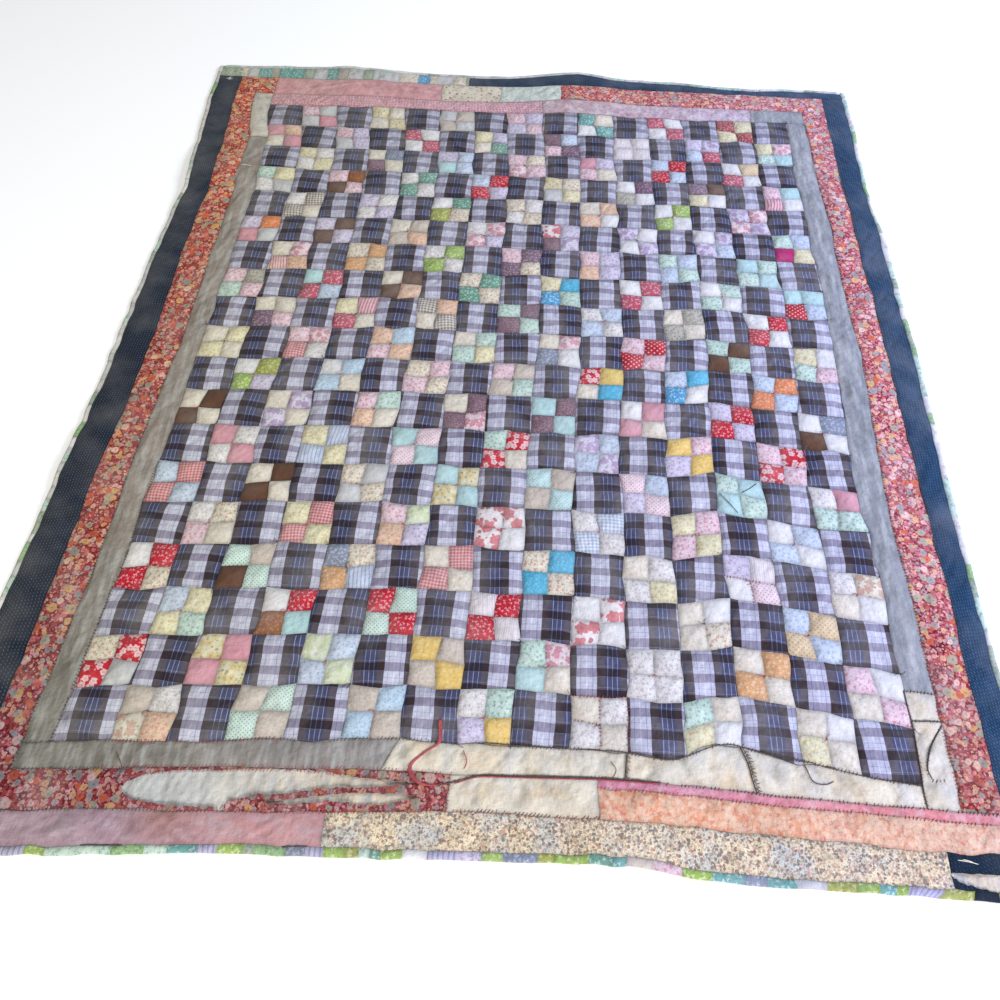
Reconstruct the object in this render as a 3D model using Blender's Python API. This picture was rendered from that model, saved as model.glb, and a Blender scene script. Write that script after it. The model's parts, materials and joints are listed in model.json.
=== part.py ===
"""Worn patchwork quilt, laid flat.

The quilt is one layer of batting and backing with its top sewn over it: a centre of plaid and
four-patch blocks, grey, red and navy borders, the odd pieces that mend its head and foot, and a
pieced binding round the edge. Each piece that a maker cuts is its own solid, a hair apart from
its neighbours.

Metres, +Z up. +Y runs from the foot to the head, and the origin is on the floor under the
middle of the outline.
"""

import math
from collections import namedtuple

import bmesh
import bpy
import numpy as np

COLLECTION_NAME = "patchwork_quilt"

CENTIMETRE = 0.01
BLOCK_COLUMNS = 15
BLOCK_ROWS = 19
BATTING_THICKNESS = 0.0035
TOP_THICKNESS = 0.0012
PIECE_GAP = 0.0003
BINDING_WIDTH = 1.4 * CENTIMETRE

# The lengthwise seams, as distances in centimetres from the middle line. A row for each
# station up the quilt, because the borders wander and the quilt flares at its head.
LengthSeams = namedtuple(
    "LengthSeams",
    "y left_edge left_navy left_red left_grey blocks_left"
    " blocks_right right_grey right_red right_navy right_edge",
)
LENGTH_SEAMS = (
    LengthSeams(-117, -97.6, -96.4, -88.0, -81.3, -76.1, 78.2, 84.2, 91.3, 95.6, 96.9),
    LengthSeams(-105, -97.4, -96.2, -87.8, -81.3, -76.1, 78.2, 84.2, 91.3, 96.2, 97.3),
    LengthSeams(-86, -96.9, -95.7, -87.1, -80.7, -75.3, 78.7, 84.0, 91.1, 96.7, 97.9),
    LengthSeams(-62, -95.9, -94.7, -86.8, -79.7, -74.2, 78.0, 83.4, 90.9, 95.8, 96.9),
    LengthSeams(-42, -95.0, -93.8, -86.6, -79.5, -74.0, 77.4, 82.9, 90.8, 95.8, 97.3),
    LengthSeams(-19, -94.5, -93.3, -85.9, -79.3, -73.9, 77.2, 83.4, 90.8, 96.6, 98.0),
    LengthSeams(2, -94.7, -93.4, -85.8, -78.5, -73.4, 78.8, 84.8, 90.9, 97.0, 98.5),
    LengthSeams(25, -94.7, -93.5, -86.8, -79.2, -73.6, 78.3, 84.1, 90.9, 96.8, 98.2),
    LengthSeams(44, -94.5, -93.3, -86.8, -79.2, -74.0, 78.1, 83.9, 90.2, 96.6, 98.4),
    LengthSeams(55, -93.4, -92.2, -86.2, -79.3, -73.6, 77.7, 83.9, 90.2, 95.9, 96.9),
    LengthSeams(76, -95.6, -94.4, -87.5, -80.6, -74.6, 77.6, 83.6, 90.3, 96.3, 97.6),
    LengthSeams(95, -97.6, -96.4, -89.4, -83.4, -77.9, 78.2, 83.5, 90.4, 96.9, 98.4),
    LengthSeams(116, -98.1, -96.9, -90.2, -84.0, -78.3, 78.3, 83.3, 90.5, 96.9, 98.4),
)

# The crosswise seams, in centimetres up from the middle of the quilt. A row for each station
# across it, from left to right.
CrossSeams = namedtuple(
    "CrossSeams",
    "x foot_edge foot_band tear_low tear_high foot_panels blocks_foot"
    " blocks_head head_band head_border head_edge",
)
CROSS_SEAMS = (
    CrossSeams(-98, -118.2, -111.9, -109.9, -108.0, -104.7, -99.8, 95.6, 101.4, 109.6, 115.4),
    CrossSeams(-77, -118.4, -111.1, -109.4, -107.4, -104.2, -99.5, 95.6, 101.2, 109.7, 116.0),
    CrossSeams(-62, -117.2, -110.1, -107.9, -105.9, -103.1, -98.4, 95.5, 101.1, 109.5, 116.5),
    CrossSeams(-52, -116.5, -109.6, -108.8, -103.6, -102.3, -97.7, 95.5, 101.0, 109.4, 117.3),
    CrossSeams(-42, -115.8, -109.1, -107.9, -102.8, -101.6, -96.8, 95.5, 100.9, 109.3, 115.6),
    CrossSeams(-28, -115.1, -108.5, -106.2, -102.4, -100.9, -95.8, 95.5, 100.7, 109.0, 115.1),
    CrossSeams(-16, -115.1, -107.6, -104.7, -101.8, -100.3, -95.0, 95.4, 100.5, 108.9, 114.6),
    CrossSeams(-5, -114.2, -106.7, -103.8, -101.7, -100.3, -94.8, 95.4, 100.4, 109.0, 114.6),
    CrossSeams(6, -113.9, -106.4, -103.8, -101.6, -100.0, -94.6, 95.4, 101.4, 109.3, 116.0),
    CrossSeams(16, -113.6, -106.3, -103.7, -101.2, -99.6, -94.5, 95.3, 102.1, 109.8, 118.4),
    CrossSeams(26, -113.2, -106.3, -103.9, -101.2, -99.5, -94.6, 95.3, 102.0, 109.8, 115.7),
    CrossSeams(37, -114.5, -106.6, -104.2, -101.5, -99.9, -95.5, 95.3, 101.9, 109.7, 115.3),
    CrossSeams(47, -115.0, -106.9, -104.5, -101.8, -100.2, -92.5, 95.2, 101.8, 109.6, 115.2),
    CrossSeams(58, -115.0, -107.2, -104.9, -102.2, -100.5, -94.3, 95.2, 101.6, 109.4, 113.6),
    CrossSeams(68, -114.9, -107.5, -105.2, -102.5, -100.8, -95.8, 95.2, 101.4, 109.2, 112.7),
    CrossSeams(78, -114.9, -107.9, -105.5, -102.8, -101.1, -97.1, 95.2, 101.3, 109.0, 113.5),
    CrossSeams(92, -115.3, -107.8, -105.6, -103.2, -101.5, -97.4, 95.2, 101.2, 108.6, 113.2),
    CrossSeams(98, -115.0, -107.7, -105.7, -103.4, -101.7, -97.5, 95.2, 101.1, 108.5, 112.7),
)

# The seams are the lines of one lattice. These are the lines' numbers, from the left edge and
# from the foot.
LEFT_EDGE, LEFT_NAVY, LEFT_RED, LEFT_GREY, BLOCKS_LEFT = range(5)
BLOCKS_RIGHT = BLOCKS_LEFT + BLOCK_COLUMNS
RIGHT_GREY, RIGHT_RED, RIGHT_NAVY, RIGHT_EDGE = range(BLOCKS_RIGHT + 1, BLOCKS_RIGHT + 5)
FOOT_EDGE, FOOT_BINDING, FOOT_BAND, TEAR_LOW, TEAR_HIGH, FOOT_PANELS, BLOCKS_FOOT = range(7)
BLOCKS_HEAD = BLOCKS_FOOT + BLOCK_ROWS
HEAD_BAND, HEAD_BORDER, HEAD_BINDING, HEAD_EDGE = range(BLOCKS_HEAD + 1, BLOCKS_HEAD + 5)


def block(column):
    """The number of the line to the left of a block column, counted from 0 at the left."""
    return BLOCKS_LEFT + column


def course(row):
    """The number of the line below a row of blocks, counted from 0 at the foot."""
    return BLOCKS_FOOT + row


# Where a seam between two odd pieces misses the line between two block columns, that line
# bends sideways by so many centimetres, from one crosswise seam to another.
ColumnBend = namedtuple("ColumnBend", "block first_row last_row sideways")
COLUMN_BENDS = (
    ColumnBend(1, TEAR_LOW, TEAR_HIGH, 4.0),
    ColumnBend(6, FOOT_PANELS, FOOT_PANELS, -2.3),
    ColumnBend(9, FOOT_BAND, FOOT_PANELS, 5.4),
    ColumnBend(12, FOOT_PANELS, FOOT_PANELS, 2.5),
    ColumnBend(15, FOOT_BINDING, FOOT_BAND, 2.0),
    ColumnBend(6, HEAD_BORDER, HEAD_EDGE, -2.5),
    ColumnBend(7, HEAD_BAND, HEAD_BORDER, -2.7),
    ColumnBend(9, HEAD_BAND, HEAD_BORDER, -5.0),
)

# The patches in the grey borders end between two block rows, so those row lines bend up or
# down by so many centimetres inside the border.
RowBend = namedtuple("RowBend", "course first_column last_column upwards")
ROW_BENDS = (
    RowBend(17, LEFT_GREY, BLOCKS_LEFT, 4.0),
    RowBend(2, BLOCKS_RIGHT, RIGHT_GREY, -3.3),
    RowBend(1, BLOCKS_RIGHT, RIGHT_GREY, 1.6),
)

# Soft folds that lift the cloth off the floor: the middle and heading of each ridge, its
# length and width over all, and its rise, in centimetres and degrees from +X.
Fold = namedtuple("Fold", "x y heading length width rise")
FOLDS = (
    Fold(-88, 62, 12, 72, 40, 1.0),
    Fold(-92, -38, -4, 56, 38, 0.7),
    Fold(-55, -104, 98, 56, 36, 0.7),
    Fold(16, 106, 84, 60, 40, 1.0),
    Fold(-50, 108, 100, 46, 36, 0.6),
    Fold(92, 50, 172, 60, 38, 0.9),
    Fold(88, -58, 10, 68, 40, 0.8),
    Fold(30, -104, 96, 52, 38, 0.9),
    Fold(-24, 12, 72, 116, 38, 0.5),
    Fold(40, -28, 104, 108, 40, 0.6),
)

# Each cloth's colour in sRGB, from 0 to 255, and how rough it looks.
Cloth = namedtuple("Cloth", "red green blue roughness")
CLOTHS = {
    "cream_muslin": Cloth(222, 212, 188, 0.95),
    "plaid_and_prints": Cloth(150, 138, 148, 0.9),
    "grey_cotton": Cloth(148, 146, 142, 0.92),
    "red_calico": Cloth(184, 66, 70, 0.9),
    "navy_stripe": Cloth(38, 52, 78, 0.9),
    "plain_pink": Cloth(205, 152, 156, 0.92),
    "pale_green": Cloth(206, 208, 184, 0.92),
    "pink_check": Cloth(206, 140, 152, 0.9),
    "lilac_cotton": Cloth(196, 160, 182, 0.92),
    "rose_cotton": Cloth(214, 122, 134, 0.9),
    "peach_print": Cloth(232, 170, 140, 0.9),
    "speckled_print": Cloth(206, 190, 168, 0.92),
    "pieced_binding": Cloth(150, 178, 160, 0.9),
}

# The flat pieces of the top: each covers the lattice between two lengthwise and two crosswise
# seams.
Piece = namedtuple("Piece", "name cloth left right foot head")
TOP_PIECES = (
    Piece("patchwork_centre", "plaid_and_prints", BLOCKS_LEFT, BLOCKS_RIGHT, BLOCKS_FOOT, BLOCKS_HEAD),
    Piece("grey_border_left", "grey_cotton", LEFT_GREY, BLOCKS_LEFT, BLOCKS_FOOT, course(17)),
    Piece("grey_border_right", "grey_cotton", BLOCKS_RIGHT, RIGHT_GREY, course(2), BLOCKS_HEAD),
    Piece("grey_border_foot", "grey_cotton", LEFT_GREY, block(6), FOOT_PANELS, BLOCKS_FOOT),
    Piece("grey_corner_head", "grey_cotton", block(14), RIGHT_GREY, BLOCKS_HEAD, HEAD_BAND),
    Piece("cream_patch_left", "cream_muslin", LEFT_GREY, BLOCKS_LEFT, course(17), HEAD_BAND),
    Piece("cream_patch_right_high", "cream_muslin", BLOCKS_RIGHT, RIGHT_GREY, course(1), course(2)),
    Piece("cream_patch_right_low", "cream_muslin", BLOCKS_RIGHT, RIGHT_GREY, FOOT_PANELS, course(1)),
    Piece("red_border_left", "red_calico", LEFT_RED, LEFT_GREY, FOOT_PANELS, HEAD_BAND),
    Piece("red_border_right", "red_calico", RIGHT_GREY, RIGHT_RED, FOOT_PANELS, HEAD_BAND),
    Piece("red_border_head", "red_calico", block(9), RIGHT_RED, HEAD_BAND, HEAD_BORDER),
    Piece("red_corner_head", "red_calico", LEFT_RED, BLOCKS_LEFT, HEAD_BAND, HEAD_BORDER),
    Piece("red_border_foot", "red_calico", LEFT_RED, block(7), FOOT_BAND, FOOT_PANELS),
    Piece("navy_border_left", "navy_stripe", LEFT_NAVY, LEFT_RED, FOOT_BAND, HEAD_BORDER),
    Piece("navy_border_right", "navy_stripe", RIGHT_RED, RIGHT_NAVY, FOOT_BAND, HEAD_BORDER),
    Piece("navy_strip_head", "navy_stripe", block(6), RIGHT_NAVY, HEAD_BORDER, HEAD_BINDING),
    Piece("navy_corner_foot", "navy_stripe", BLOCKS_RIGHT, RIGHT_NAVY, FOOT_BINDING, FOOT_BAND),
    Piece("pink_band_head", "plain_pink", BLOCKS_LEFT, block(5), HEAD_BAND, HEAD_BORDER),
    Piece("cream_piece_head", "cream_muslin", block(5), block(7), HEAD_BAND, HEAD_BORDER),
    Piece("green_piece_head", "pale_green", block(7), block(9), HEAD_BAND, HEAD_BORDER),
    Piece("pink_check_head", "pink_check", BLOCKS_LEFT, block(8), BLOCKS_HEAD, HEAD_BAND),
    Piece("lilac_band_head", "lilac_cotton", block(8), block(14), BLOCKS_HEAD, HEAD_BAND),
    Piece("cream_panel_left", "cream_muslin", block(6), block(10), FOOT_PANELS, BLOCKS_FOOT),
    Piece("cream_panel_middle", "cream_muslin", block(10), block(12), FOOT_PANELS, BLOCKS_FOOT),
    Piece("cream_panel_right", "cream_muslin", block(12), BLOCKS_RIGHT, FOOT_PANELS, BLOCKS_FOOT),
    Piece("cream_panel_low", "cream_muslin", block(7), block(9), FOOT_BAND, FOOT_PANELS),
    Piece("rose_strip_foot", "rose_cotton", block(9), RIGHT_RED, TEAR_HIGH, FOOT_PANELS),
    Piece("peach_strip_foot", "peach_print", block(9), RIGHT_RED, FOOT_BAND, TEAR_HIGH),
    Piece("lilac_strip_foot", "lilac_cotton", LEFT_NAVY, block(5), FOOT_BINDING, FOOT_BAND),
    Piece("speckled_strip_foot", "speckled_print", block(5), BLOCKS_RIGHT, FOOT_BINDING, FOOT_BAND),
    Piece("pieced_band_head", "pieced_binding", LEFT_NAVY, block(6), HEAD_BORDER, HEAD_BINDING),
)
TORN_PIECE = "red_border_foot"
TEAR = Piece("tear", None, block(1), block(6), TEAR_LOW, TEAR_HIGH)

BATTING = Piece("batting_and_backing", "cream_muslin", LEFT_NAVY, RIGHT_NAVY, FOOT_BINDING, HEAD_BINDING)

# The binding folds over the raw edge, so each strip is as thick as all that it holds.
BINDINGS = (
    Piece("binding_left", "pieced_binding", LEFT_EDGE, LEFT_NAVY, FOOT_EDGE, HEAD_EDGE),
    Piece("binding_right", "pieced_binding", RIGHT_NAVY, RIGHT_EDGE, FOOT_EDGE, HEAD_EDGE),
    Piece("binding_foot", "pieced_binding", LEFT_NAVY, RIGHT_NAVY, FOOT_EDGE, FOOT_BINDING),
    Piece("binding_head", "pieced_binding", LEFT_NAVY, RIGHT_NAVY, HEAD_BINDING, HEAD_EDGE),
)


def seam_through(table, along, seam, places):
    """How far a seam lies to the side at each of these places, in metres."""
    stations = [getattr(row, along) * CENTIMETRE for row in table]
    offsets = [getattr(row, seam) * CENTIMETRE for row in table]
    return np.interp(places, stations, offsets)


def cross_lines(x):
    """The height up the quilt of every crosswise line at x."""
    seams = {name: seam_through(CROSS_SEAMS, "x", name, x) for name in CrossSeams._fields[1:]}
    foot = [
        seams["foot_edge"],
        seams["foot_edge"] + BINDING_WIDTH,
        seams["foot_band"],
        seams["tear_low"],
        seams["tear_high"],
        seams["foot_panels"],
    ]
    blocks = np.linspace(seams["blocks_foot"], seams["blocks_head"], BLOCK_ROWS + 1)
    head = [
        seams["head_band"],
        seams["head_border"],
        seams["head_edge"] - BINDING_WIDTH,
        seams["head_edge"],
    ]
    return np.array([*foot, *blocks, *head])


def length_lines(y):
    """The distance to the right of every lengthwise line at y."""
    seams = {name: seam_through(LENGTH_SEAMS, "y", name, y) for name in LengthSeams._fields[1:]}
    left = [seams[name] for name in ("left_edge", "left_navy", "left_red", "left_grey")]
    blocks = np.linspace(seams["blocks_left"], seams["blocks_right"], BLOCK_COLUMNS + 1)
    right = [seams[name] for name in ("right_grey", "right_red", "right_navy", "right_edge")]
    return np.array([*left, *blocks, *right])


def lattice_points():
    """(x, y) where each pair of lines crosses, as [column, row], centred on the outline."""
    level_x = length_lines(0.0)
    level_y = cross_lines(0.0)
    points = np.empty((len(level_x), len(level_y), 2))
    for row, y in enumerate(level_y):
        points[:, row, 0] = length_lines(y)
    for column, x in enumerate(level_x):
        points[column, :, 1] = cross_lines(x)
    for bend in COLUMN_BENDS:
        rows = slice(bend.first_row, bend.last_row + 1)
        points[block(bend.block), rows, 0] += bend.sideways * CENTIMETRE
    for bend in ROW_BENDS:
        columns = slice(bend.first_column, bend.last_column + 1)
        points[columns, course(bend.course), 1] += bend.upwards * CENTIMETRE
    return points - (points.max(axis=(0, 1)) + points.min(axis=(0, 1))) / 2


def lift(x, y):
    """How far the folds raise the cloth off the floor, at a point in metres."""
    rise = 0.0
    for fold in FOLDS:
        heading = math.radians(fold.heading)
        dx = x - fold.x * CENTIMETRE
        dy = y - fold.y * CENTIMETRE
        along = (dx * math.cos(heading) + dy * math.sin(heading)) / (fold.length * CENTIMETRE / 2)
        across = (dy * math.cos(heading) - dx * math.sin(heading)) / (fold.width * CENTIMETRE / 2)
        reach = math.hypot(along, across)
        if reach < 1:
            rise += fold.rise * CENTIMETRE * math.cos(reach * math.pi / 2) ** 2
    return rise


def cells_of(piece):
    """The lattice cells that a piece covers, as (column, row)."""
    columns = range(piece.left, piece.right)
    return {(column, row) for column in columns for row in range(piece.foot, piece.head)}


def flat_sheet(points, cells):
    """A sheet of triangles over these cells of the lattice, with its folds."""
    columns, rows = points.shape[0] - 1, points.shape[1] - 1
    sheet = bmesh.new()
    bmesh.ops.create_grid(sheet, x_segments=columns, y_segments=rows, size=1.0)
    place = {
        vertex: (round((vertex.co.x + 1) / 2 * columns), round((vertex.co.y + 1) / 2 * rows))
        for vertex in sheet.verts
    }
    outside = [
        face
        for face in sheet.faces
        if tuple(min(place[vertex][axis] for vertex in face.verts) for axis in (0, 1)) not in cells
    ]
    for vertex, (column, row) in place.items():
        x, y = points[column, row]
        vertex.co = (x, y, lift(x, y))
    bmesh.ops.delete(sheet, geom=outside, context="FACES")
    bmesh.ops.triangulate(sheet, faces=sheet.faces[:], quad_method="FIXED")
    return sheet


def trim_outline(sheet, width):
    """Draws the sheet's outline in by this width, mitred at its corners, so neighbours part."""
    trims = {}
    for edge in sheet.edges:
        if not edge.is_boundary:
            continue
        loop = edge.link_loops[0]
        run = (loop.link_loop_next.vert.co - loop.vert.co).to_2d().normalized()
        inward = run.orthogonal()
        for vertex in edge.verts:
            trims.setdefault(vertex, []).append(inward)
    for vertex, (one, other) in trims.items():
        shift = (one + other) * (width / (1 + one.dot(other)))
        vertex.co.x += shift.x
        vertex.co.y += shift.y


def cloth_solid(name, points, cells, underside, thickness):
    """A solid of this thickness over the cells, its underside this far above the folds."""
    sheet = flat_sheet(points, cells)
    trim_outline(sheet, PIECE_GAP / 2)
    bmesh.ops.translate(sheet, verts=sheet.verts[:], vec=(0.0, 0.0, underside))
    raised = bmesh.ops.extrude_face_region(sheet, geom=sheet.faces[:], use_keep_orig=True)
    upper = [item for item in raised["geom"] if isinstance(item, bmesh.types.BMVert)]
    bmesh.ops.translate(sheet, verts=upper, vec=(0.0, 0.0, thickness))
    bmesh.ops.recalc_face_normals(sheet, faces=sheet.faces[:])
    mesh = bpy.data.meshes.new(name)
    sheet.to_mesh(mesh)
    sheet.free()
    return bpy.data.objects.new(name, mesh)


def linear(value):
    """One channel of an sRGB colour, from 0 to 255, as linear light."""
    share = value / 255
    return share / 12.92 if share <= 0.04045 else ((share + 0.055) / 1.055) ** 2.4


def cloth_material(name):
    """The cotton of this name, made once and then shared."""
    if name in bpy.data.materials:
        return bpy.data.materials[name]
    cloth = CLOTHS[name]
    material = bpy.data.materials.new(name)
    material.use_nodes = True
    shader = material.node_tree.nodes["Principled BSDF"]
    colour = (linear(cloth.red), linear(cloth.green), linear(cloth.blue), 1.0)
    shader.inputs["Base Color"].default_value = colour
    shader.inputs["Roughness"].default_value = cloth.roughness
    shader.inputs["Metallic"].default_value = 0.0
    return material


def build_quilt():
    """Adds every piece of the quilt to its own collection."""
    for old in list(bpy.data.objects):
        bpy.data.objects.remove(old, do_unlink=True)
    collection = bpy.data.collections.new(COLLECTION_NAME)
    bpy.context.scene.collection.children.link(collection)

    points = lattice_points()
    layers = [(BATTING, 0.0, BATTING_THICKNESS)]
    layers += [(piece, BATTING_THICKNESS + PIECE_GAP, TOP_THICKNESS) for piece in TOP_PIECES]
    layers += [(piece, 0.0, BATTING_THICKNESS + PIECE_GAP + TOP_THICKNESS) for piece in BINDINGS]
    for piece, underside, thickness in layers:
        cells = cells_of(piece)
        if piece.name == TORN_PIECE:
            cells -= cells_of(TEAR)
        solid = cloth_solid(piece.name, points, cells, underside, thickness)
        solid.data.materials.append(cloth_material(piece.cloth))
        collection.objects.link(solid)


build_quilt()
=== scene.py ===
"""Worn patchwork quilt, laid flat and face up on a pale floor.

The sections follow the quilt as it is sewn: the batting and its backing, the centre of plaid and
four-patch blocks, the borders, the odd pieces that mend its head and foot, the binding, and last
the stitches and loose threads. Metres, +Z up, +Y from the foot to the head.
"""

import json
import math
from collections import namedtuple

import bpy
import numpy as np
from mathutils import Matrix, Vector
from mathutils.bvhtree import BVHTree

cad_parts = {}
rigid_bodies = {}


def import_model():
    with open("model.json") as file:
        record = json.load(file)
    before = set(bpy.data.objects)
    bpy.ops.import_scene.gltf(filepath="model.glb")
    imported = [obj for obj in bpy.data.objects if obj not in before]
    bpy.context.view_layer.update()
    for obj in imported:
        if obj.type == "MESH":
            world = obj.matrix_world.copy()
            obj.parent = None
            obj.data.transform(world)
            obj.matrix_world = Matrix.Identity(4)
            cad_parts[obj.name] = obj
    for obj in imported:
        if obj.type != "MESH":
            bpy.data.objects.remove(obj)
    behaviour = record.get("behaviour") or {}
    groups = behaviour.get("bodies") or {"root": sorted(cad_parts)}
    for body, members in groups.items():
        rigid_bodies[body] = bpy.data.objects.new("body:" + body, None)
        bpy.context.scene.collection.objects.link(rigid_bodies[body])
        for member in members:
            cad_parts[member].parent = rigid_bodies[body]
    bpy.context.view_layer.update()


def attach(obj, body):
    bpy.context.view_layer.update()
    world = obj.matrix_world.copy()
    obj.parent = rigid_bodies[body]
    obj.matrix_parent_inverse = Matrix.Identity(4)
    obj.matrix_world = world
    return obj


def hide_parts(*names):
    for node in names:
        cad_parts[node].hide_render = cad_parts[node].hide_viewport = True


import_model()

# ------------------------------------------------------------------------------------------
# Eye, floor and light. The quilt lies on a plain pale studio floor, lit by broad soft lights,
# and is seen by someone who stands just inside its foot and looks down along it.

EYE = (0.0688, -1.3608, 1.4813)
EYE_DIP = math.radians(57.65)
EYE_TURN = math.radians(3.6)
EYE_LENS = 29.63

bpy.ops.object.camera_add(location=EYE, rotation=(math.pi / 2 - EYE_DIP, 0.0, EYE_TURN))
eye = bpy.context.object
eye.name = "eye"
eye.data.lens = EYE_LENS
bpy.context.scene.camera = eye


def linear(red, green, blue):
    """A colour given in sRGB from 0 to 255, as linear light."""
    shares = (value / 255 for value in (red, green, blue))
    lit = [s / 12.92 if s <= 0.04045 else ((s + 0.055) / 1.055) ** 2.4 for s in shares]
    return (*lit, 1.0)


def add_node(kind, inputs=(), tree=None, **settings):
    """A new shader node. inputs gives its sockets a value, or the output of a node in its tree."""
    outputs = [value for value in dict(inputs).values() if isinstance(value, bpy.types.NodeSocket)]
    tree = tree or outputs[0].id_data
    node = tree.nodes.new("ShaderNode" + kind)
    for setting, value in settings.items():
        setattr(node, setting, value)
    for socket, value in dict(inputs).items():
        if isinstance(value, bpy.types.NodeSocket):
            tree.links.new(value, node.inputs[socket])
        else:
            node.inputs[socket].default_value = value
    return node


def reckon(operation, *values):
    """Arithmetic on outputs and numbers."""
    return add_node("Math", dict(enumerate(values)), operation=operation).outputs[0]


def spread(value, low, high, at_low, at_high):
    """A value carried from one range onto another, held at the ends."""
    ranges = {"From Min": low, "From Max": high, "To Min": at_low, "To Max": at_high}
    return add_node("MapRange", {"Value": value, **ranges}).outputs[0]


def lay_over(share, under, over):
    """One colour laid over another, by a share from 0 to 1. Either may be given in sRGB."""
    colours = (linear(*dye) if isinstance(dye, tuple) and len(dye) == 3 else dye for dye in (under, over))
    return add_node("Mix", {0: share, **dict(zip((6, 7), colours))}, data_type="RGBA").outputs[2]


def dim(colour, share):
    """A colour made darker or lighter by a share of itself."""
    node = add_node("VectorMath", {0: colour, "Scale": share}, operation="SCALE")
    return node.outputs[0]


def times(three, shares):
    """The three numbers of a place or a colour, each multiplied by its own share."""
    return add_node("VectorMath", {0: three, 1: shares}, operation="MULTIPLY").outputs[0]


def part_of(three, axis):
    """One of the three numbers of a place or a colour."""
    return add_node("SeparateXYZ", {0: three}).outputs[axis]


def mottle(where, per_metre, detail=2.0):
    """Soft noise from 0 to 1, with so many lumps to the metre along each axis."""
    inputs = {"Vector": times(where, per_metre), "Scale": 1.0, "Detail": detail}
    return add_node("TexNoise", inputs).outputs[0]


def new_material(name):
    """A new material, with its node tree and its shader."""
    material = bpy.data.materials.new(name)
    material.use_nodes = True
    return material, material.node_tree, material.node_tree.nodes["Principled BSDF"]


FLOOR_GLOW = 0.1


def floor_paint():
    """Matt studio floor lit from beneath, almost white, with the faintest unevenness."""
    material, tree, shader = new_material("pale_floor")
    spot = add_node("TexCoord", tree=tree).outputs["Object"]
    cloud = mottle(spot, (0.8, 0.8, 0.8))
    colour = lay_over(cloud, (253, 253, 253), (255, 255, 255))
    tree.links.new(colour, shader.inputs["Base Color"])
    shader.inputs["Roughness"].default_value = 0.95
    shader.inputs["Emission Color"].default_value = (1.0, 1.0, 1.0, 1.0)
    shader.inputs["Emission Strength"].default_value = FLOOR_GLOW
    return material


FLOOR_SIZE = 24.0
FLOOR_DROP = 0.0006
bpy.ops.mesh.primitive_plane_add(size=FLOOR_SIZE, location=(0.0, 0.0, -FLOOR_DROP))
floor = bpy.context.object
floor.name = "studio_floor"
floor.data.materials.append(floor_paint())

Lamp = namedtuple("Lamp", "name place size watts colour")
LAMPS = (
    Lamp("window_right", (5.0, 0.9, 2.6), 2.0, 330, (0.84, 0.94, 1.06)),
    Lamp("window_foot", (0.8, -5.6, 3.3), 2.2, 330, (1.0, 0.985, 0.96)),
)
for lamp in LAMPS:
    bpy.ops.object.light_add(type="AREA", location=lamp.place)
    light = bpy.context.object
    light.name = lamp.name
    light.data.size = lamp.size
    light.data.energy = lamp.watts
    light.data.color = lamp.colour
    light.rotation_euler = (-light.location).to_track_quat("-Z", "Y").to_euler()

world = bpy.data.worlds.new("soft_daylight")
world.use_nodes = True
sky = world.node_tree.nodes["Background"]
sky.inputs["Color"].default_value = (1.0, 0.99, 0.96, 1.0)
sky.inputs["Strength"].default_value = 0.38
bpy.context.scene.world = world
bpy.context.scene.view_settings.view_transform = "Standard"

# ------------------------------------------------------------------------------------------
# Batting and backing. One soft sheet of cotton batting with cream muslin over it, under the
# whole top. It sets where everything lies: the seams of the top are lines of one lattice drawn
# on it, and its low folds lift what is sewn to it. It shows through the tears.

CENTIMETRE = 0.01
MILLIMETRE = 0.001
BLOCK_COLUMNS = 15
BLOCK_ROWS = 19
BINDING_WIDTH = 1.4 * CENTIMETRE
BATTING_THICKNESS = 3.5 * MILLIMETRE

# The lengthwise seams, in centimetres from the middle line, at stations up the quilt.
LengthSeams = namedtuple(
    "LengthSeams",
    "y left_edge left_navy left_red left_grey blocks_left"
    " blocks_right right_grey right_red right_navy right_edge",
)
LENGTH_SEAMS = [
    LengthSeams(*seams)
    for seams in (
        (-117, -97.6, -96.4, -88.0, -81.3, -76.1, 78.2, 84.2, 91.3, 95.6, 96.9),
        (-105, -97.4, -96.2, -87.8, -81.3, -76.1, 78.2, 84.2, 91.3, 96.2, 97.3),
        (-86, -96.9, -95.7, -87.1, -80.7, -75.3, 78.7, 84.0, 91.1, 96.7, 97.9),
        (-62, -95.9, -94.7, -86.8, -79.7, -74.2, 78.0, 83.4, 90.9, 95.8, 96.9),
        (-42, -95.0, -93.8, -86.6, -79.5, -74.0, 77.4, 82.9, 90.8, 95.8, 97.3),
        (-19, -94.5, -93.3, -85.9, -79.3, -73.9, 77.2, 83.4, 90.8, 96.6, 98.0),
        (2, -94.7, -93.4, -85.8, -78.5, -73.4, 78.8, 84.8, 90.9, 97.0, 98.5),
        (25, -94.7, -93.5, -86.8, -79.2, -73.6, 78.3, 84.1, 90.9, 96.8, 98.2),
        (44, -94.5, -93.3, -86.8, -79.2, -74.0, 78.1, 83.9, 90.2, 96.6, 98.4),
        (55, -93.4, -92.2, -86.2, -79.3, -73.6, 77.7, 83.9, 90.2, 95.9, 96.9),
        (76, -95.6, -94.4, -87.5, -80.6, -74.6, 77.6, 83.6, 90.3, 96.3, 97.6),
        (95, -97.6, -96.4, -89.4, -83.4, -77.9, 78.2, 83.5, 90.4, 96.9, 98.4),
        (116, -98.1, -96.9, -90.2, -84.0, -78.3, 78.3, 83.3, 90.5, 96.9, 98.4),
    )
]

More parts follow.
